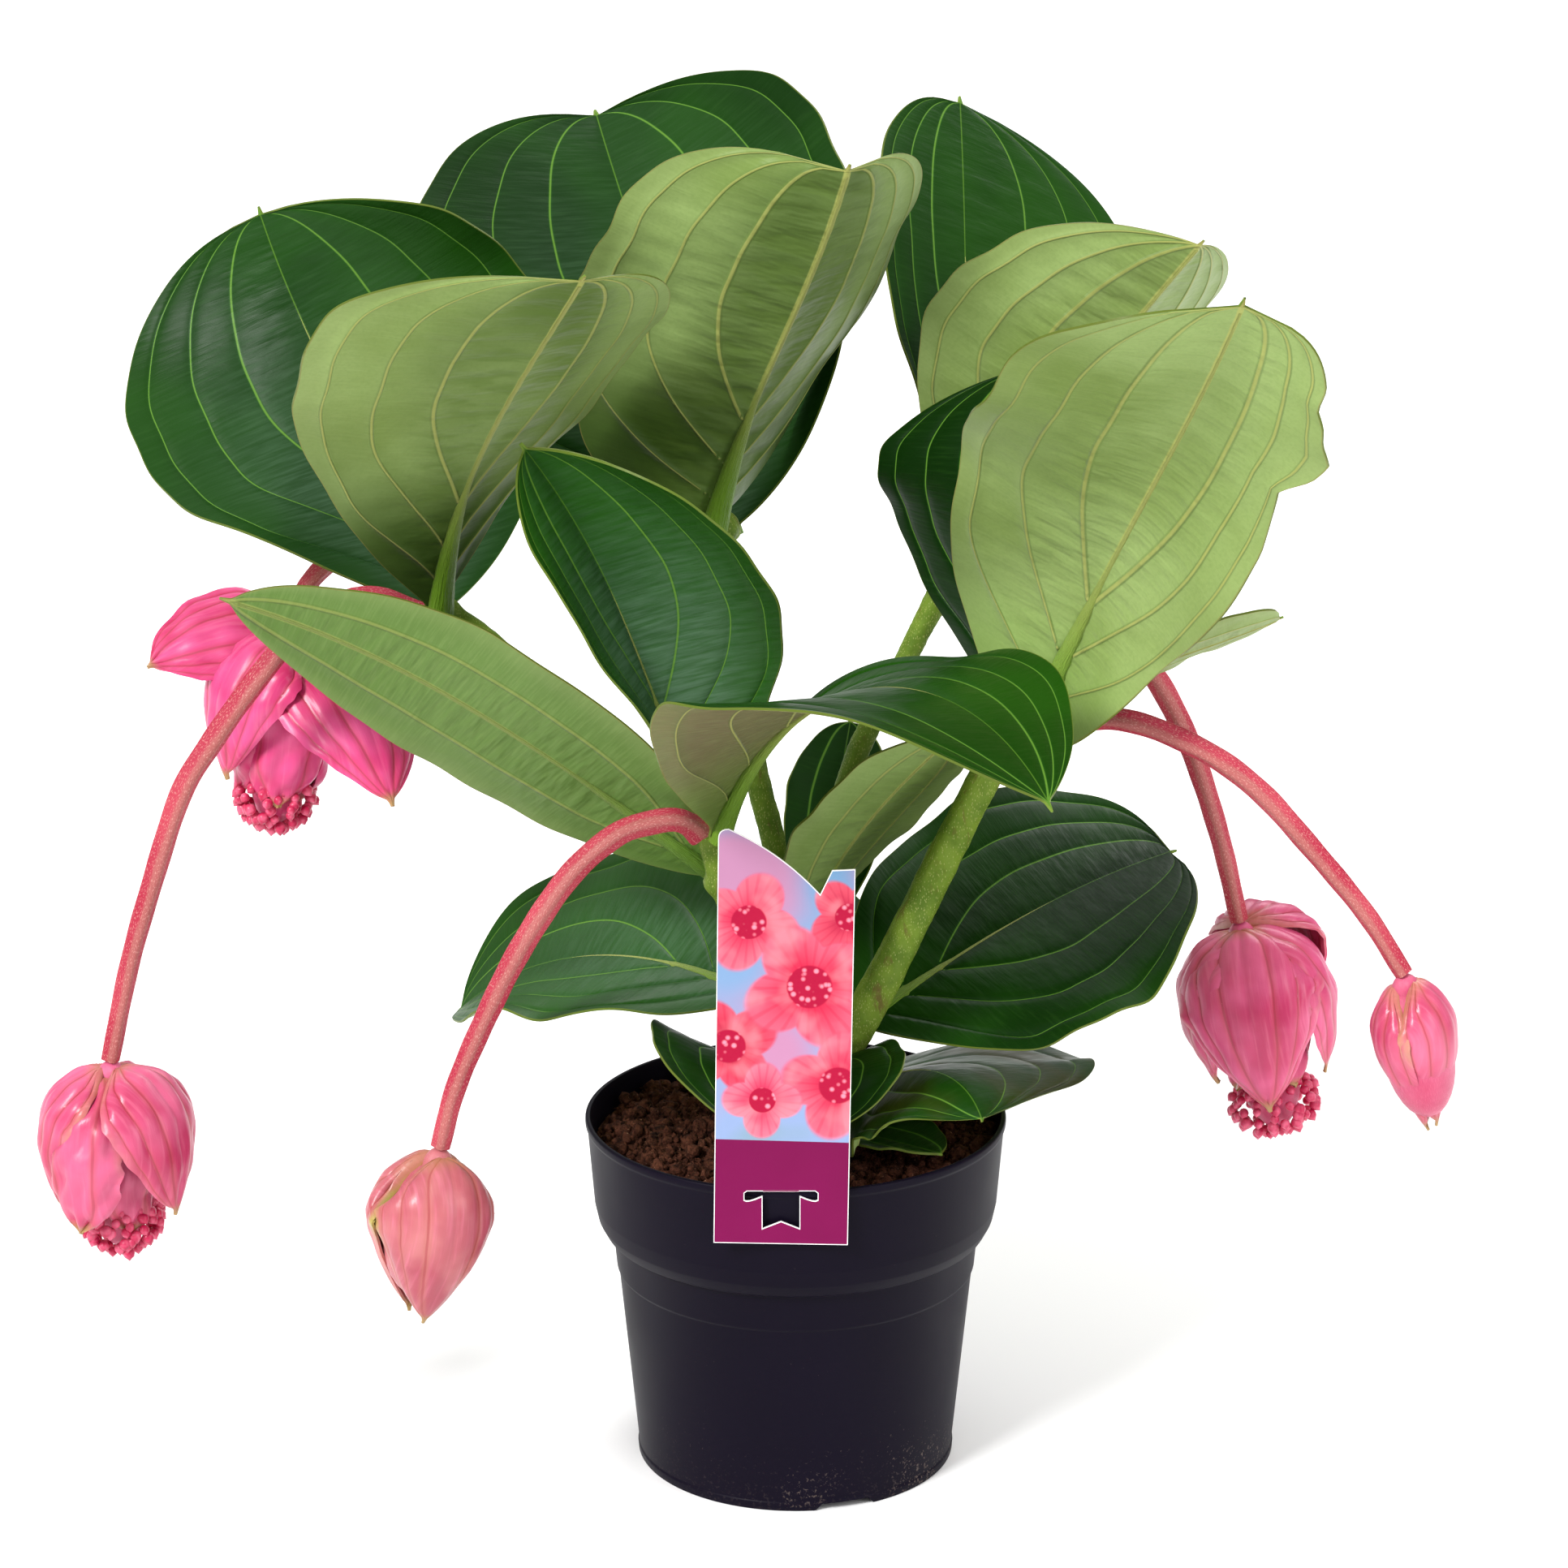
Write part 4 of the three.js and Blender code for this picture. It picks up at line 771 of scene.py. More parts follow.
modify(stem, "SMOOTH", factor=0.5, iterations=4)
bumps = bpy.data.textures.new("bark_bumps", "CLOUDS")
bumps.noise_scale = 0.009
modify(stem, "DISPLACE", texture=bumps, texture_coords="LOCAL", strength=1.0 * MM, mid_level=0.55)
paint(stem, STEM_BARK)
dress(stem, "stem")

# %% [markdown]
# ## Flower stalks
# Each stalk is square with rounded edges and pink-red, with a paler brownish strip on each of two
# opposite sides and fine pale flecks that run along it. It thins a little towards the flower head.

# %% Stalk finish
flesh = Finish("stalk_skin", Specular_IOR_Level=0.25, Subsurface_Weight=0.08, Subsurface_Scale=0.002,
               Subsurface_Radius=(1.0, 0.35, 0.25))
wander = flesh.noise(1, 2, 0.5, flesh.places((2, 30, 1), uv=True))
strip = flesh.math("ADD", flesh.axes(flesh.places(uv=True))["X"], flesh.span(wander, 0.3, 0.7, (-0.03, 0.03)))
for turn in (0.5, 0.25):  # two folds of a full turn leave one strip on each of two sides
    strip = flesh.math("ABSOLUTE", flesh.math("SUBTRACT", strip, turn))
flecks = flesh.noise(1, 2, 0.6, flesh.places((64, 850, 1), uv=True))
skin = flesh.coats(
    flesh.blend(flesh.span(flesh.noise(30, 2), 0.3, 0.7), (168, 32, 60), (186, 62, 80)),
    (flesh.span(strip, 0.13, 0.05, (0, 0.6)), (168, 112, 102)),
    (flesh.span(flecks, 0.52, 0.68, (0, 0.55)), (216, 166, 154)))
flesh.relief(flecks, 0.5, 0.0004)
STALK_SKIN = flesh.use(skin, 0.5)

# %% The stalks
STALKS = {
    "stalk_left_front": [[-141, -15, 355], [-151, -18, 361], [-161, -22, 366], [-173, -27, 366],
        [-186, -32, 359], [-197, -36, 350], [-212, -43, 332], [-225, -48, 314], [-236, -52, 296],
        [-248, -55, 261], [-258, -56, 228]],
    "stalk_left_back": [[-134, -6, 350], [-141, 6, 353], [-153, 18, 363], [-168, 25, 372], [-182, 28, 369],
        [-193, 27, 359]],
    "stalk_middle": [[-38, -50, 281], [-45, -59, 288], [-55, -62, 288], [-69, -66, 284], [-87, -72, 269],
        [-106, -78, 241], [-121, -82, 211], [-131, -84, 187]],
    "stalk_right_back": [[90, -15, 318], [99, 0, 325], [111, 12, 332], [125, 19, 333], [139, 24, 326],
        [150, 27, 309], [161, 29, 284], [172, 30, 250]],
    "stalk_right_front": [[90, -22, 313], [101, -25, 315], [113, -31, 320], [126, -39, 322], [141, -45, 319],
        [161, -50, 310], [178, -52, 297], [193, -54, 281], [219, -56, 250]],
}
STALK_RADIUS, NECK_RADIUS = 4.2, 3.4


def stalk(name, head):
    points = STALKS[name] + [[head[0], head[1], head[2] + GAP]]
    radius = lambda share: (STALK_RADIUS + (NECK_RADIUS - STALK_RADIUS) * np.clip(share * 2 - 1, 0, 1)
                            + 1.3 * np.clip(1 - share / 0.05, 0, 1) ** 2)
    square = lambda angle, share: (1 + 0.12 * np.cos(4 * angle)) * (1 + 0.02 * np.sin(60 * share))
    piece = tube(name, points, radius, around=24, section=square)
    paint(piece, STALK_SKIN)
    dress(piece, name)


# %% The flower heads' values, and the stalks that reach them
# Each head hangs from its top to its foot, in mm. Its bracts are given as if it hung straight down.
BLOOMS = {
    "bloom_left_front": dict(top=[-267, -56, 189], foot=[-265, -56, 108],
        outer=[
            dict(heading=-26, rise=[8, -110], bow=-26, size=[82, 66], curl=-56),
            dict(heading=188, rise=[4, -119], bow=-20, size=[80, 54], curl=-62),
            dict(heading=84, rise=[-2, -120], bow=-16, size=[80, 62], curl=-56, depth=1),
        ],
        inner=[
            dict(heading=-120, rise=[-6, -112], bow=-16, size=[82, 46], curl=-68, depth=3),
            dict(heading=-66, rise=[-46, -106], bow=-8, size=[71, 36], curl=-62, depth=7),
            dict(heading=60, rise=[-40, -114], bow=-10, size=[73, 46], curl=-74, depth=8),
        ],
        core=dict(radius=13, start=8, end=78)),
    "bloom_left_back": dict(top=[-200, 24, 344], foot=[-209, 14, 262],
        outer=[
            dict(heading=196, rise=[4, -42], bow=-2, size=[59, 46], curl=-34, roll=-52),
            dict(heading=-40, rise=[-18, -70], bow=0, size=[91, 64], curl=-44, roll=22),
            dict(heading=84, rise=[-6, -84], bow=-4, size=[68, 50], curl=-44),
            dict(heading=-142, rise=[4, -122], bow=-18, size=[80, 70], curl=-60, depth=1),
        ],
        inner=[
            dict(heading=-78, rise=[-34, -114], bow=-9, size=[76, 48], curl=-74, depth=7),
            dict(heading=58, rise=[-36, -114], bow=-9, size=[77, 50], curl=-74, depth=9),
            dict(heading=178, rise=[-34, -114], bow=-9, size=[76, 50], curl=-74, depth=7),
        ],
        core=dict(radius=13, start=8, end=82)),
    "bud_middle": dict(top=[-137, -85, 164], foot=[-148, -85, 93],
        outer=[
            dict(heading=-62, rise=[-8, -122], bow=-32, size=[85, 76], curl=-88),
            dict(heading=118, rise=[-8, -122], bow=-32, size=[85, 84], curl=-92, depth=1),
        ],
        inner=[],
        core=dict(radius=18, start=6, end=62)),
    "bloom_right_back": dict(top=[180, 30, 217], foot=[199, 27, 128],
        outer=[
            dict(heading=-98, rise=[-4, -120], bow=-22, size=[93, 74], curl=-64),
            dict(heading=60, rise=[40, -126], bow=-40, size=[98, 62], curl=-58),
            dict(heading=-8, rise=[4, -120], bow=-22, size=[87, 60], curl=-60, depth=1.5),
            dict(heading=186, rise=[6, -120], bow=-24, size=[82, 60], curl=-60, depth=1.5),
        ],
        inner=[
            dict(heading=-46, rise=[-40, -108], bow=-10, size=[79, 52], curl=-68, depth=6),
            dict(heading=74, rise=[-42, -108], bow=-9, size=[80, 50], curl=-68, depth=8),
            dict(heading=194, rise=[-40, -108], bow=-10, size=[77, 52], curl=-68, depth=6),
        ],
        core=dict(radius=15, start=8, end=90)),
    "bud_right_front": dict(top=[235, -57, 225], foot=[250, -57, 156],
        outer=[
            dict(heading=160, rise=[-22, -112], bow=-36, size=[78, 62], curl=-94, depth=1),
            dict(heading=-20, rise=[-22, -112], bow=-36, size=[77, 62], curl=-94),
        ],
        inner=[],
        core=dict(radius=14, start=4, end=60)),
}
for name, bloom in BLOOMS.items():
    stalk(name.replace("bloom", "stalk").replace("bud", "stalk"), bloom["top"])

# %% [markdown]
# ## Flower heads
# An open head is a knob, an outer whorl of broad bracts, an inner whorl of crumpled ones, and dozens
# of bead-like flower buds round the end of its core. A closed one has two outer bracts. Bracts have
# reddish-brown veins, and are yellowish green at the root and the tip, and along the margins of buds.

# %% Bract finish
petal = Finish("bract_skin", Specular_IOR_Level=0.4, Subsurface_Weight=0.08, Subsurface_Scale=0.002,
               Subsurface_Radius=(1.0, 0.3, 0.35))
patches = petal.noise(34, 3, 0.5)
lines = petal.noise(1, 3, 0.6, petal.places((420, 26, 1), uv=True))
pale = petal.attribute("tone")
hot = petal.blend(petal.span(patches, 0.3, 0.7), (196, 44, 100), (224, 82, 142))
soft = petal.blend(petal.span(patches, 0.3, 0.7), (172, 74, 88), (200, 124, 122))
bud_scale = petal.times(petal.span(petal.noise(60, 2), 0.4, 0.6, (0.4, 1)), pale,
                        petal.by("share", 0.7, 0.4, (0.15, 1)), petal.by("edge", 5, 0.5))
skin = petal.coats(
    petal.blend(pale, hot, soft),
    (petal.span(lines, 0.45, 0.75, (0, 0.3)), (238, 132, 164)),
    (petal.by("vein", 2.6, 0.4, (0, 0.45)), petal.blend(pale, (196, 56, 84), (180, 108, 88))),
    (petal.by("vein", 0.75, 0.3, (0, 0.5)), (158, 50, 62)),
    (bud_scale, (176, 168, 86)),
    (petal.by("share", 0.92, 0.99, (0, 0.75)), (168, 150, 88)),
    (petal.by("share", 0.12, 0.02, (0, 0.45)), (178, 138, 84)))
petal.relief(lines, 0.3, 0.0005)
petal.relief(petal.noise(800, 2), 0.15, 0.0002)
BRACT_SKIN = petal.use(skin, petal.span(patches, 0.3, 0.7, (0.28, 0.38)))

berry = Finish("bead_skin", Specular_IOR_Level=0.4, Subsurface_Weight=0.1, Subsurface_Scale=0.002,
               Subsurface_Radius=(1.0, 0.3, 0.35))
mottle = berry.span(berry.noise(260, 2), 0.35, 0.7)
BEAD_SKIN = berry.use(berry.blend(mottle, (190, 30, 78), (226, 96, 130)), 0.3)

# %% One bract
# In mm: root is how far from the head's axis a bract starts, and drop how far below the head's top.
BRACT = {"thickness": 1.1, "stub": 2.5, "root": 3, "drop": 2}
OUTER = dict(veins=[(0.3, 0.0, 0.14), (0.6, 0.0, 0.12), (0.86, 0.0, 0.1)], cells=4, tip_half=2, groove=0.45)
BRACT_KINDS = {
    "open": dict(OUTER, quilt=1.1, crumple=0.45, margin=0.5),
    "closed": dict(OUTER, quilt=0.5, crumple=0.15, margin=0),
    "inner": dict(veins=[(0.45, 0.0, 0.14)], cells=6, tip_half=1.4, groove=0.1, quilt=0.2, crumple=1.1,
                  margin=1.4),
}


def bract(name, values, kind, seed, scale):
    """One bract that grows from the knob and hangs along -Z."""
    heading, roll, curl = math.radians(values["heading"]), values.get("roll", 0), values["curl"]
    foot = [BRACT["root"] * math.cos(heading), BRACT["root"] * math.sin(heading),
            -values.get("depth", 0) - BRACT["drop"]]
    shape = dict(values, foot=foot, size=[side * scale for side in values["size"]], roll=[roll, roll],
                 fold=[0, 0], curl=[curl, curl], swell=[0.6, 0.38] if kind == "inner" else [0.42, 0.75])
    piece = blade(name, shape, rows=34, seed=seed, stub=BRACT["stub"], tip_length=0.08, waves=(0.15, 16),
                  **BRACT_KINDS[kind])[0]
    paint(piece, BRACT_SKIN)
    if kind == "inner":
        note(piece, "vein", FAR)
    modify(piece, "SOLIDIFY", thickness=BRACT["thickness"] * MM, offset=0, use_even_offset=False)
    return piece

# %% Knob, core and beads
# In mm: how far beads stand off the core, how far above the lowest bead the widest ring lies, and how far
# below the core's end that lowest bead hangs.
BEAD = {"radius": 2.3, "stand": 2.2, "tall": 13, "below": 0.8}


def ball(name, radius, place, material):
    deselect()
    bpy.ops.mesh.primitive_uv_sphere_add(segments=24, ring_count=16, radius=MM)
    piece = bpy.context.object
    piece.name = name
    piece.scale = radius
    piece.location = Vector(place) * MM
    bpy.ops.object.transform_apply(location=True, scale=True)
    paint(piece, material)
    return piece


def bead_cluster(name, core, count, seed):
    """Small flower buds that sit close together round the lower end of the core."""
    chance = np.random.default_rng(seed)
    deselect()
    bpy.ops.mesh.primitive_ico_sphere_add(subdivisions=2, radius=MM)
    first = bpy.context.object
    first.name = name
    for corner in first.data.vertices:  # a small beak at the free end
        if corner.co.z < -0.9 * MM:
            corner.co.z -= 0.3 * MM
    paint(first, BEAD_SKIN)
    beads = []
    for i in range(count):
        fall = 1 - 1.7 * (i + 0.5) / count  # from the lowest bead up to those between the bracts
        turn = i * 2.4 + chance.uniform(-0.2, 0.2)
        out = math.sqrt(1 - fall ** 2) * (core["radius"] + BEAD["stand"]) + chance.uniform(-0.8, 0.8)
        depth = core["end"] + BEAD["below"] - BEAD["tall"] * (1 - fall) + chance.uniform(-0.8, 1.2)
        place = Vector((out * math.cos(turn), out * math.sin(turn), -depth))
        copy = first.copy()
        copy.data = first.data.copy()
        bpy.context.collection.objects.link(copy)
        pick(copy)
        lean = Vector((0, 0, -1)).rotation_difference(
            Vector((math.cos(turn) * (1 - fall), math.sin(turn) * (1 - fall), -1.0)))
        size = BEAD["radius"] * chance.uniform(0.78, 1.1)
        copy.matrix_world = Matrix.Translation(place * MM) @ lean.to_matrix().to_4x4() @ Matrix.Scale(size, 4)
        bpy.ops.object.transform_apply(location=True, rotation=True, scale=True)
        beads.append(copy)
    bpy.data.objects.remove(first)
    return merge(*beads)

# %% The flower heads
# From 0 for hot pink bracts to 1 for the soft, brownish pink of a closed bud.
PALE = {"bloom_left_front": 0.3, "bloom_left_back": 0.0, "bud_middle": 0.95, "bloom_right_back": 0.2,
        "bud_right_front": 0.4}
BEAD_COUNT = 96
# A smooth bract bulges past the solid's flat facets, so each head is made smaller than its solid. The
# two at the part's outer ends are made smaller still, to keep the part inside the solids' box.
HEAD_SCALE = {"bloom_left_front": 0.927, "bud_right_front": 0.914}
OTHER_HEADS = 0.975
# How much shorter the inner bracts are made than in the solids, to show the beads.
SHORTER = {"bloom_left_front": 0.95, "bloom_left_back": 0.93, "bloom_right_back": 0.88}


def flower_head(number, name, bloom):
    core = bloom["core"]
    half, middle = (core["end"] - core["start"]) / 2, (core["end"] + core["start"]) / 2
    parts = [ball(name + "_knob", (6, 6, 8), (0, 0, -8), BRACT_SKIN),
             ball(name + "_core", (core["radius"], core["radius"], half), (0, 0, -middle), BRACT_SKIN)]
    for part in parts:
        for word, value in (("vein", FAR), ("edge", FAR), ("rib", FAR), ("share", 0.3), ("out", 0)):
            note(part, word, value)
    scale = HEAD_SCALE.get(name, OTHER_HEADS)
    for i, values in enumerate(bloom["outer"]):
        kind = "open" if bloom["inner"] else "closed"
        parts.append(bract(f"{name}_outer{i}", values, kind, 300 + 20 * number + i, scale))
    for i, values in enumerate(bloom["inner"]):
        length, width = values["size"]
        values = dict(values, size=[length * SHORTER[name], width])
        parts.append(bract(f"{name}_inner{i}", values, "inner", 310 + 20 * number + i, scale))
    if bloom["inner"]:
        parts.append(bead_cluster(name + "_beads", core, BEAD_COUNT, 900 + number))
    piece = merge(*parts)
    note(piece, "tone", PALE[name])
    axis = (Vector(bloom["foot"]) - Vector(bloom["top"])).normalized()
    turn = Vector((0, 0, -1)).rotation_difference(axis)
    piece.matrix_world = Matrix.Translation(Vector(bloom["top"]) * MM) @ turn.to_matrix().to_4x4()
    pick(piece)
    bpy.ops.object.transform_apply(location=True, rotation=True)
    dress(piece, name)


for number, (name, bloom) in enumerate(BLOOMS.items()):
    flower_head(number, name, bloom)

# %% [markdown]
# ## Pot
# The pot is injection moulded in black plastic: a rim, a band, a shoulder and a tapered wall with a
# ledge line. Its profile is extruded corner by corner, the corners are rounded, and it is spun round
# the axis. One boolean cut, with all the cutters joined, then makes the notches in the foot ring and the
# drainage holes.

# %% Pot plastic
plastic = Finish("pot_plastic", IOR=1.25, Specular_IOR_Level=0.22)
cloud = plastic.noise(12, 3, 0.6)
dust = plastic.noise(1, 4, 0.7, plastic.places((700, 700, 700)))
near_foot = plastic.span(plastic.axes(plastic.places())["Z"], 0.045, 0.0, (0.0, 0.14))
flakes = plastic.times(plastic.span(plastic.math("ADD", dust, near_foot), 0.68, 0.78, (0, 0.55)),
                       plastic.span(plastic.noise(26, 3, 0.6), 0.45, 0.7, (0.1, 1)))
skin = plastic.blend(flakes, plastic.blend(cloud, (10, 6, 18), (18, 13, 29)), (128, 112, 104))
plastic.relief(plastic.noise(1500, 2), 0.06, 0.0002)
POT_PLASTIC = plastic.use(skin, plastic.span(cloud, 0.3, 0.7, (0.38, 0.5)))

# %% The pot's profile, corner by corner
RIM, WALL, BAND, SHOULDER, FOOT = 85, 2, 81.6, 74.2, 65  # radii, and the wall's thickness
LEDGE, SHOULDER_HEIGHT, FLOOR_TOP = 82, 97, 5.5
body = lambda height: FOOT + (SHOULDER - FOOT) / SHOULDER_HEIGHT * height
PROFILE = [
    [22, 0], [24, 3], [58, 3], [60, 0], [64.6, 0], [64.9, 3.4], [64.4, 3.9],
    [body(LEDGE - 1) - 0.7, LEDGE - 1], [body(LEDGE), LEDGE], [SHOULDER, SHOULDER_HEIGHT],
    [SHOULDER + 3.4, 98.6], [BAND - 1.4, 103.5], [BAND, 110], [84.2, 142], [RIM, 143.2],
    [RIM, 145.4], [RIM - 0.6, 146], [RIM - WALL, 146], [RIM - WALL - 0.6, 142], [BAND - WALL, 111],
    [SHOULDER - WALL + 1, 101], [SHOULDER - WALL, SHOULDER_HEIGHT], [body(FLOOR_TOP) - WALL, FLOOR_TOP],
]
deselect()
bpy.ops.mesh.primitive_plane_add(size=0.01)
pot = bpy.context.object
bpy.ops.object.mode_set(mode="EDIT")
bpy.ops.mesh.merge(type="CENTER")
before = Vector((0, 0, 0))
for radius, height in PROFILE + [[0, FLOOR_TOP]]:
    after = Vector((radius * MM, 0, height * MM))
    bpy.ops.mesh.extrude_vertices_move(TRANSFORM_OT_translate={"value": after - before})
    before = after
bpy.ops.mesh.select_all(action="SELECT")
bpy.ops.object.mode_set(mode="OBJECT")
for corner in pot.data.vertices:  # every corner but those on and near the axis
    corner.select = corner.co.x > 0.02
bpy.ops.object.mode_set(mode="EDIT")
bpy.ops.mesh.select_mode(type="VERT")
bpy.ops.mesh.bevel(offset=0.45 * MM, segments=3, affect="VERTICES")
bpy.ops.mesh.select_all(action="SELECT")
bpy.ops.mesh.spin(steps=120, angle=math.tau, center=(0, 0, 0), axis=(0, 0, 1))
bpy.ops.object.mode_set(mode="OBJECT")
clean(pot)

# %% Notches in the foot, and drainage holes
# In mm and degrees. A notch's mouth is measured 1 mm below the foot, where its cutter starts.
FOOT_NOTCH = {"count": 3, "heading": -72, "mouth": 27, "top": 19, "height": 3, "ring": 62, "reach": 10}
DRAIN_HOLE = {"count": 6, "heading": 15, "radius": 5, "ring": 41}
cutters = []
for i in range(FOOT_NOTCH["count"]):
    deselect()
    bpy.ops.mesh.primitive_cube_add(size=MM, location=(0, 0, 0))
    notch = bpy.context.object
    for corner in notch.data.vertices:
        top = corner.co.z > 0
        half = FOOT_NOTCH["top" if top else "mouth"] / 2
        out = FOOT_NOTCH["ring"] + math.copysign(FOOT_NOTCH["reach"], corner.co.x)
        corner.co = Vector((out, math.copysign(half, corner.co.y), FOOT_NOTCH["height"] if top else -1)) * MM
    notch.rotation_euler[2] = math.radians(FOOT_NOTCH["heading"] + i * 360 / FOOT_NOTCH["count"])
    bpy.ops.object.transform_apply(rotation=True)
    cutters.append(notch)
for i in range(DRAIN_HOLE["count"]):
    angle = math.radians(DRAIN_HOLE["heading"] + i * 360 / DRAIN_HOLE["count"])
    ring = DRAIN_HOLE["ring"] * MM
    deselect()
    bpy.ops.mesh.primitive_cylinder_add(vertices=32, radius=DRAIN_HOLE["radius"] * MM, depth=0.02,
                                        location=(ring * math.cos(angle), ring * math.sin(angle), 0.0055))
    bpy.ops.object.transform_apply(location=True)
    cutters.append(bpy.context.object)
cutter = merge(*cutters)
modify(pot, "BOOLEAN", operation="DIFFERENCE", object=cutter, solver="EXACT")
bpy.data.objects.remove(cutter)
paint(pot, POT_PLASTIC)
dress(pot, "pot", smooth=35)

# %% [markdown]
# ## Peat
# The peat is a brown, fibrous crumb. A grid is turned round the pot's axis into a filling, heaped a
# little and roughened. Loose crumbs and fibres lie on it, each one a small lump with a few faces.

# %% Peat finish
earth = Finish("peat_crumb", Specular_IOR_Level=0.1)
clods = earth.noise(240, 5, 0.7)
# The peat's browns follow the same bumps as its relief: the peat's own colour, with painted shade that
# darkens the dips.
skin = earth.coats(
    earth.blend(earth.span(clods, 0.3, 0.7), (32, 15, 11), (104, 62, 46)),
    (earth.span(earth.noise(900, 2, 0.6), 0.66, 0.74, (0, 0.6)), (168, 132, 104)))
earth.relief(clods, 1.0, 0.003)
earth.relief(earth.cells(520), 0.8, 0.001)
PEAT = earth.use(skin, 0.95)

# %% The bed of peat
# In mm. The mound rises above the edge's height, and slope is the power by which it falls off outwards.
SOIL = {"bottom": 5.8, "edge": 134, "mound": 5, "spread": 83, "slope": 1.5}
SOIL_SIDE = WALL + GAP + 0.2
RINGS, SPOKES = 64, 360


def peat_bumps(x, y):
    lump = np.sin(x * 0.31 + 1) * np.cos(y * 0.27) + 0.6 * np.sin(x * 0.13 - y * 0.21)
    small = 1.0 * np.sin(x * 0.83 + 2) * np.sin(y * 0.91) + 0.6 * np.sin(x * 1.7 + y) * np.sin(y * 1.9)
    return 1.3 * lump + small


def peat_top(reach, x, y):
    """The height of the heaped surface in mm."""
    return SOIL["edge"] + SOIL["mound"] * (1 - (reach / SOIL["spread"]) ** SOIL["slope"]) + peat_bumps(x, y)


outer = RIM - SOIL_SIDE - 1.4
profile = [(0, SOIL["bottom"]), (body(FLOOR_TOP) - SOIL_SIDE - 0.4, SOIL["bottom"]),
           (SHOULDER - SOIL_SIDE, SHOULDER_HEIGHT), (SHOULDER - SOIL_SIDE + 1, 101.3),
           (BAND - SOIL_SIDE, 111.3), (outer, SOIL["edge"])]
radii = np.concatenate([[p[0] for p in profile], np.linspace(outer, 0, RINGS)[1:]])
heights = np.concatenate([[p[1] for p in profile], np.zeros(RINGS - 1)])
soil, row, column = lattice("soil", len(radii), SPOKES + 1)
angle = column / SPOKES * 2 * np.pi
chance = np.random.default_rng(7)
x, y = radii[row] * np.cos(angle), radii[row] * np.sin(angle)
rough = chance.normal(0, 0.7, (len(radii), SPOKES))[row, column % SPOKES]
z = np.where(row < len(profile), heights[row], peat_top(radii[row], x, y) + rough * (radii[row] > 2))
z = np.where(row == len(radii) - 1, SOIL["edge"] + SOIL["mound"], z)
move(soil, np.stack([x, y, z], 1))
clean(soil, 2e-5)

# %% Loose crumbs and fibres
# How many places are tried, how far out and how near the trunk they may lie, and the share of fibres.
CRUMBS = {"tries": 3000, "reach": 79.5, "trunk": 11, "fibres": 0.16}
deselect()
bpy.ops.mesh.primitive_ico_sphere_add(subdivisions=1, radius=1)
seed_crumb = bpy.context.object
lump = np.array([corner.co for corner in seed_crumb.data.vertices])
faces = np.array([face.vertices[:] for face in seed_crumb.data.polygons])
bpy.data.objects.remove(seed_crumb)
crumbs, all_faces = [], []
for i in range(CRUMBS["tries"]):
    reach = CRUMBS["reach"] * math.sqrt(chance.uniform(0.0, 1))
    turn = chance.uniform(0, 2 * math.pi)
    x, y = reach * math.cos(turn), reach * math.sin(turn)
    if math.hypot(x, y + 9) < CRUMBS["trunk"]:
        continue
    if chance.uniform() < CRUMBS["fibres"]:
        size = np.array([chance.uniform(2.5, 6), 0.35, 0.35])
    else:
        size = chance.uniform(0.7, 1.9, 3) * (2.2 if i % 5 == 0 else 1)
    turned = Matrix.Rotation(chance.uniform(0, 6.3), 3, "Z")
    turned = turned @ Matrix.Rotation(chance.uniform(-0.5, 0.5), 3, "Y")
    corners = lump * size * chance.uniform(0.75, 1.25, lump.shape) @ np.array(turned).T
    crumbs.append(corners + [x, y, peat_top(reach, x, y) + size[2] * 0.5])
    all_faces.append(faces + len(lump) * len(all_faces))
crumb = from_mesh("crumbs", np.vstack(crumbs), [], np.vstack(all_faces).tolist())
crumb.data.uv_layers.new(name="UVMap")
soil = merge(soil, crumb)
paint(soil, PEAT)
dress(soil, "soil", smooth=180)

# %% [markdown]
# ## Plant card
# A printed card hangs on the rim by a flap that is punched out of it. Its outline and the punched hole
# are two loops of edges: filled, inset for the white border, and given a thickness.
# The print is a soft sky with loose pink four-petalled blossoms over a magenta band, all drawn by
# shader nodes. It has no lettering, and a card like it could hang on any plant.

# %% Card finishes
paper = Finish("card_paper", Specular_IOR_Level=0.3)
CARD_PAPER = paper.use(paper.blend(paper.noise(60, 2), (240, 238, 236), (250, 249, 247)), 0.4)

printed = Finish("card_print", Specular_IOR_Level=0.1, Coat_Weight=0.04, Coat_Roughness=0.25)
spot = printed.axes(printed.places())
haze = printed.noise(22, 1, 0.4)
pips = printed.cells(330)
streaky = printed.noise(70, 2)


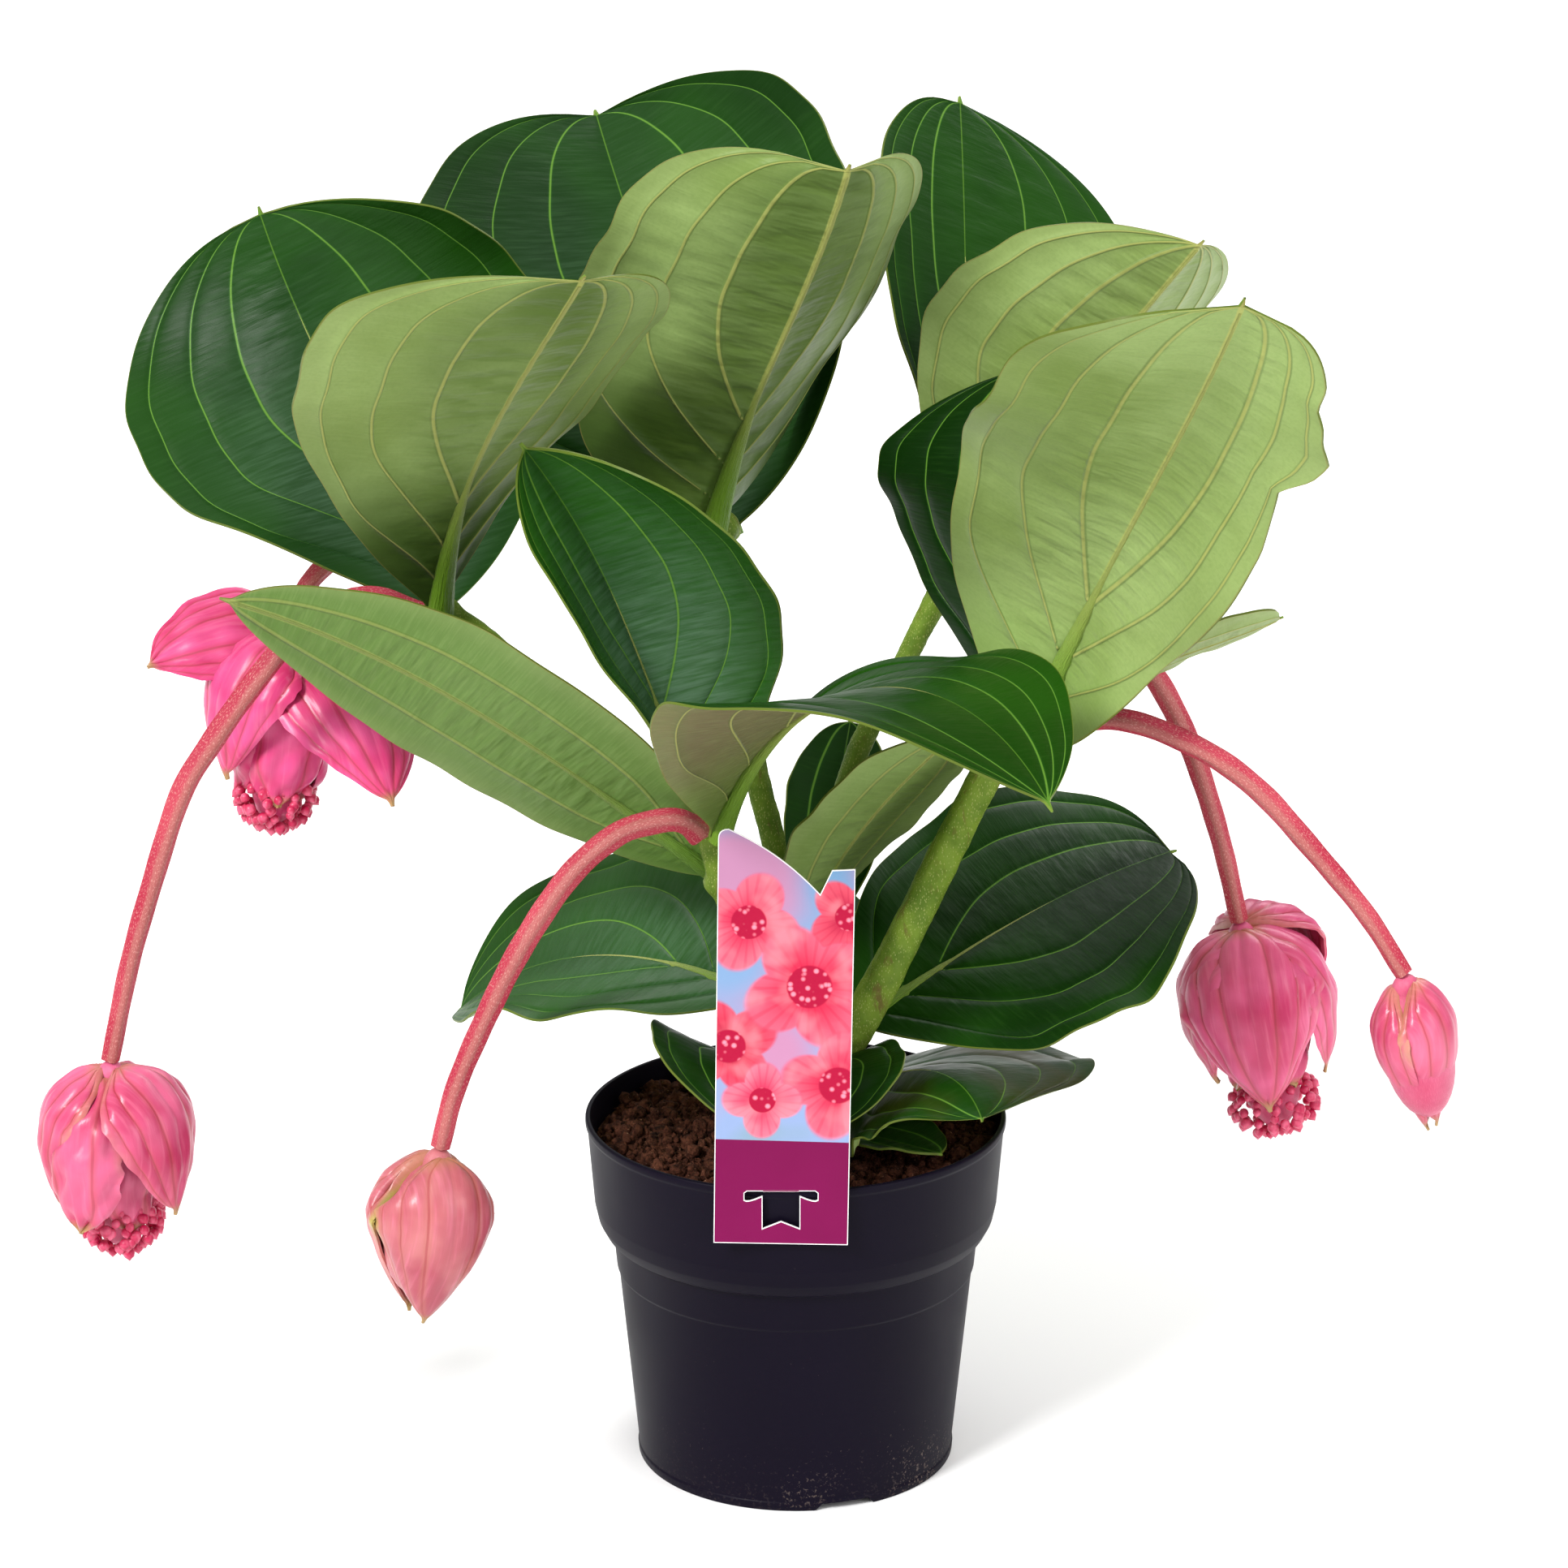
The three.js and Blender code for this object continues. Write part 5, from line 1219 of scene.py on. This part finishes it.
def blossom(picture, x, z, size, turn, light, deep):
    """Lays a flower over the picture at x, z in mm, drawn by its outline in polar coordinates."""
    across = printed.math("SUBTRACT", spot["X"], x * MM)
    upward = printed.math("SUBTRACT", spot["Z"], z * MM)
    reach = printed.math("ADD", printed.times(across, across), printed.times(upward, upward))
    reach = printed.math("SQRT", reach)
    angle = printed.math("ADD", printed.math("ARCTAN2", upward, across), turn)
    lobes = printed.math("ABSOLUTE", printed.math("COSINE", printed.times(angle, 2)))
    outline = printed.times(printed.math("ADD", printed.times(lobes, 0.35), 0.65), size * MM)
    within = printed.math("DIVIDE", reach, outline)
    streaks = printed.span(printed.math("COSINE", printed.times(angle, 25)), 0.2, 1, (0, 0.3))
    petals = printed.coats(
        printed.blend(printed.span(within, 0.1, 1.0), deep, light),
        (streaks, deep),
        (printed.span(within, 0.9, 1.0, (0, 0.5)), deep),
        (printed.span(streaky, 0.45, 0.7, (0, 0.5)), (250, 150, 160)))
    buds = printed.blend(printed.span(pips, 0.45, 0.15), (170, 14, 56), (255, 140, 160))
    return printed.coats(picture, (printed.span(within, 1.03, 0.9), petals),
                         (printed.span(reach, size * 0.34 * MM, size * 0.3 * MM), buds))


picture = printed.coats(
    printed.blend(printed.span(spot["Z"], 0.165, 0.29), (140, 160, 200), (112, 152, 190)),
    (printed.span(haze, 0.45, 0.65, (0, 0.6)), (214, 108, 140)),
    (printed.span(haze, 0.42, 0.3, (0, 0.5)), (110, 150, 100)))
for values in ((20, 258, 17, 0.9, (222, 82, 104), (176, 24, 62)),
               (-26, 206, 21, 2.6, (226, 74, 98), (172, 18, 56)),
               (-18, 256, 21, 0.4, (240, 106, 126), (196, 26, 70)),
               (5, 230, 27, 1.1, (246, 92, 116), (200, 18, 62)),
               (16, 190, 23, 0.2, (240, 98, 120), (192, 22, 66)),
               (-13, 184, 16, 1.6, (244, 112, 134), (200, 30, 76))):
    picture = blossom(picture, *values)
band = printed.blend(printed.noise(30, 2), (112, 6, 66), (124, 8, 76))
edge_of_band = printed.math("ADD", spot["Z"], printed.times(spot["X"], 0.03))
CARD_PRINT = printed.use(printed.blend(printed.span(edge_of_band, 0.1670, 0.1672), band, picture), 0.3)

# %% The card's outline
# In mm. The card leans to the right by the time it reaches its top left corner.
CARD = {"thickness": 0.8, "left": -32, "right": 20, "bottom": 124, "top_left": 293, "top_right": 277,
        "lean": 2.5, "corner": 4, "border": 0.32}
# In mm: the flap that is punched out of the card. It has a wing on each side and a notched end.
FLAP = {"left": -13, "right": 1.3, "wing": 7, "wing_height": 4.5, "top": 146.4, "length": 15.5,
        "swallow": 3, "thickness": 0.7}
drift = lambda height: CARD["lean"] * (height - CARD["bottom"]) / (CARD["top_left"] - CARD["bottom"])
arc = lambda start, turn, end, count: [[(1 - t) ** 2 * start[k] + 2 * t * (1 - t) * turn[k] + t * t * end[k]
                                        for k in (0, 1)] for t in np.linspace(0, 1, count)]
top_left = CARD["left"] + drift(CARD["top_left"])
outline = [[CARD["left"], CARD["bottom"] + 1], [CARD["right"], CARD["bottom"]],
           [CARD["right"] + drift(CARD["top_right"]), CARD["top_right"]], [13.5, CARD["top_right"] - 0.4],
           *arc([9, 267], [-6, CARD["top_left"] - 9], [top_left + CARD["corner"], CARD["top_left"]], 14),
           *arc([top_left + CARD["corner"], CARD["top_left"]], [top_left, CARD["top_left"]],
                [top_left, CARD["top_left"] - CARD["corner"]], 6)[1:]]
middle = (FLAP["left"] + FLAP["right"]) / 2
top, low = FLAP["top"], FLAP["top"] - FLAP["wing_height"]
end = top - FLAP["length"]
wing_left, wing_right = FLAP["left"] - FLAP["wing"], FLAP["right"] + FLAP["wing"]
hole = [[wing_left, top - 0.8],
        *arc([wing_left, low + 0.8], [wing_left + 1, low - 0.4], [FLAP["left"], top - 2], 5),
        [FLAP["left"], end], [middle, end + FLAP["swallow"]], [FLAP["right"], end],
        *arc([FLAP["right"], top - 2], [wing_right - 1, low - 0.4], [wing_right, low + 0.8], 5),
        [wing_right, top - 0.8], [wing_right - 1, top], [wing_left + 1, top]]
front = -RIM - GAP - CARD["thickness"]
edges = [(i, (i + 1) % len(outline)) for i in range(len(outline))]
edges += [(len(outline) + i, len(outline) + (i + 1) % len(hole)) for i in range(len(hole))]
card = from_mesh("card", [(x, front, z) for x, z in outline + hole], edges, [])

# %% The card's face, border and thickness
paint(card, CARD_PRINT, CARD_PAPER)
pick(card)
edit()
bpy.ops.mesh.fill()
bpy.ops.mesh.normals_make_consistent(inside=False)
bpy.ops.mesh.select_all(action="SELECT")
bpy.ops.mesh.inset(thickness=CARD["border"] * MM, depth=0, use_boundary=True)
edit("OBJECT")
for face in card.data.polygons:
    face.material_index = 0 if face.select else 1
if sum(face.normal.y * face.area for face in card.data.polygons) > 0:  # the print faces -Y
    edit()
    bpy.ops.mesh.flip_normals()
    edit("OBJECT")
modify(card, "SOLIDIFY", thickness=CARD["thickness"] * MM, offset=-1, material_offset=1,
       material_offset_rim=1)

# %% The flap, bent back over the rim
bend_from, bend_to = front + 0.1, front + WALL + GAP * 2 + CARD["thickness"] + 1.8
path = [(bend_from, top - 0.2), (bend_from + 0.3, top + 0.25), (bend_from + 1.0, top + 0.45),
        (bend_to - 0.8, top + 0.4), (bend_to - 0.1, top), (bend_to + 0.5, top - 3), (bend_to + 1.2, top - 8)]
flap, row, column = lattice("flap", len(path), 5)
wide = np.linspace(FLAP["left"] + 0.2, FLAP["right"] - 0.2, 5)
move(flap, np.stack([wide[column], np.array(path)[row, 0], np.array(path)[row, 1]], 1))
paint(flap, CARD_PRINT, CARD_PAPER)
modify(flap, "SUBSURF", levels=2, render_levels=2, subdivision_type="SIMPLE")
modify(flap, "SOLIDIFY", thickness=FLAP["thickness"] * MM, offset=0, material_offset=1,
       material_offset_rim=1)
dress(merge(card, flap), "label", smooth=30)

# %% [markdown]
# ## Floor, light and camera
# The plant stands on a plain pale floor in a white studio. The key is a far, broad light like a hazy
# sun, from above on the left, so the floor is evenly lit. A weak soft light comes from the right and
# another from behind, and the surroundings give more light from above than from the side.

# %% Floor
ground = Finish("floor_paint", Specular_IOR_Level=0.2)
FLOOR_PAINT = ground.use(ground.blend(ground.noise(3, 2), (251, 251, 251), (254, 254, 254)), 0.8)
deselect()
bpy.ops.mesh.primitive_plane_add(size=14, location=(0, 0, 0))
floor = bpy.context.object
floor.name = "floor"
paint(floor, FLOOR_PAINT)
floor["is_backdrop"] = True

# %% Lights
bpy.context.scene.view_settings.view_transform = "Standard"  # colours as they are, with no film curve
world = bpy.data.worlds.new("studio")
bpy.context.scene.world = world
world.use_nodes = True
tree = world.node_tree
sky = tree.nodes["Background"]
direction = tree.nodes.new("ShaderNodeTexCoord")
split = tree.nodes.new("ShaderNodeSeparateXYZ")
height = tree.nodes.new("ShaderNodeMapRange")
height.interpolation_type = "SMOOTHSTEP"
for socket, value in (("From Min", -0.05), ("From Max", 0.8), ("To Min", 0.22), ("To Max", 1.02)):
    height.inputs[socket].default_value = value
tree.links.new(direction.outputs["Generated"], split.inputs[0])
tree.links.new(split.outputs["Z"], height.inputs["Value"])
tree.links.new(height.outputs["Result"], sky.inputs["Strength"])
sky.inputs["Color"].default_value = (1, 1, 1, 1)


def aim(lamp, direction):
    lamp.rotation_euler = Vector(direction).to_track_quat("-Z", "Y").to_euler()


def soft_light(name, place, size, power):
    """A rectangular light that looks at the middle of the plant."""
    bpy.ops.object.light_add(type="AREA", location=place)
    lamp = bpy.context.object
    lamp.name = name
    lamp.data.shape = "RECTANGLE"
    lamp.data.size, lamp.data.size_y = size
    lamp.data.energy = power
    aim(lamp, Vector((0, 0, 0.3)) - Vector(place))


bpy.ops.object.light_add(type="SUN", location=(-1.3, -1.5, 1.9))
key = bpy.context.object
key.name = "key"
key.data.energy, key.data.angle = 2.9, math.radians(17)
aim(key, (1.3, 1.5, -1.6))
soft_light("fill", (1.7, -1.2, 0.9), (0.6, 1.4), 12)
soft_light("back", (0.6, 1.4, 1.5), (1.4, 0.7), 12)

# %% Camera
camera_data = bpy.data.cameras.new("camera")
camera = bpy.data.objects.new("camera", camera_data)
bpy.context.collection.objects.link(camera)
camera.location = (-0.0047, -1.7, 0.80415)
camera.rotation_euler = (math.radians(73.0), 0, 0)
camera_data.lens, camera_data.sensor_width = 103.3, 36
camera_data.clip_start, camera_data.clip_end = 0.05, 60
bpy.context.scene.camera = camera

# %% Size against the frame, and the end
sizes = {"cad": [list(corner) for corner in CAD_BOX], "visual": [list(corner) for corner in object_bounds()]}
for name, box in sizes.items():
    print(name, [[round(c / MM, 2) for c in corner] for corner in box])
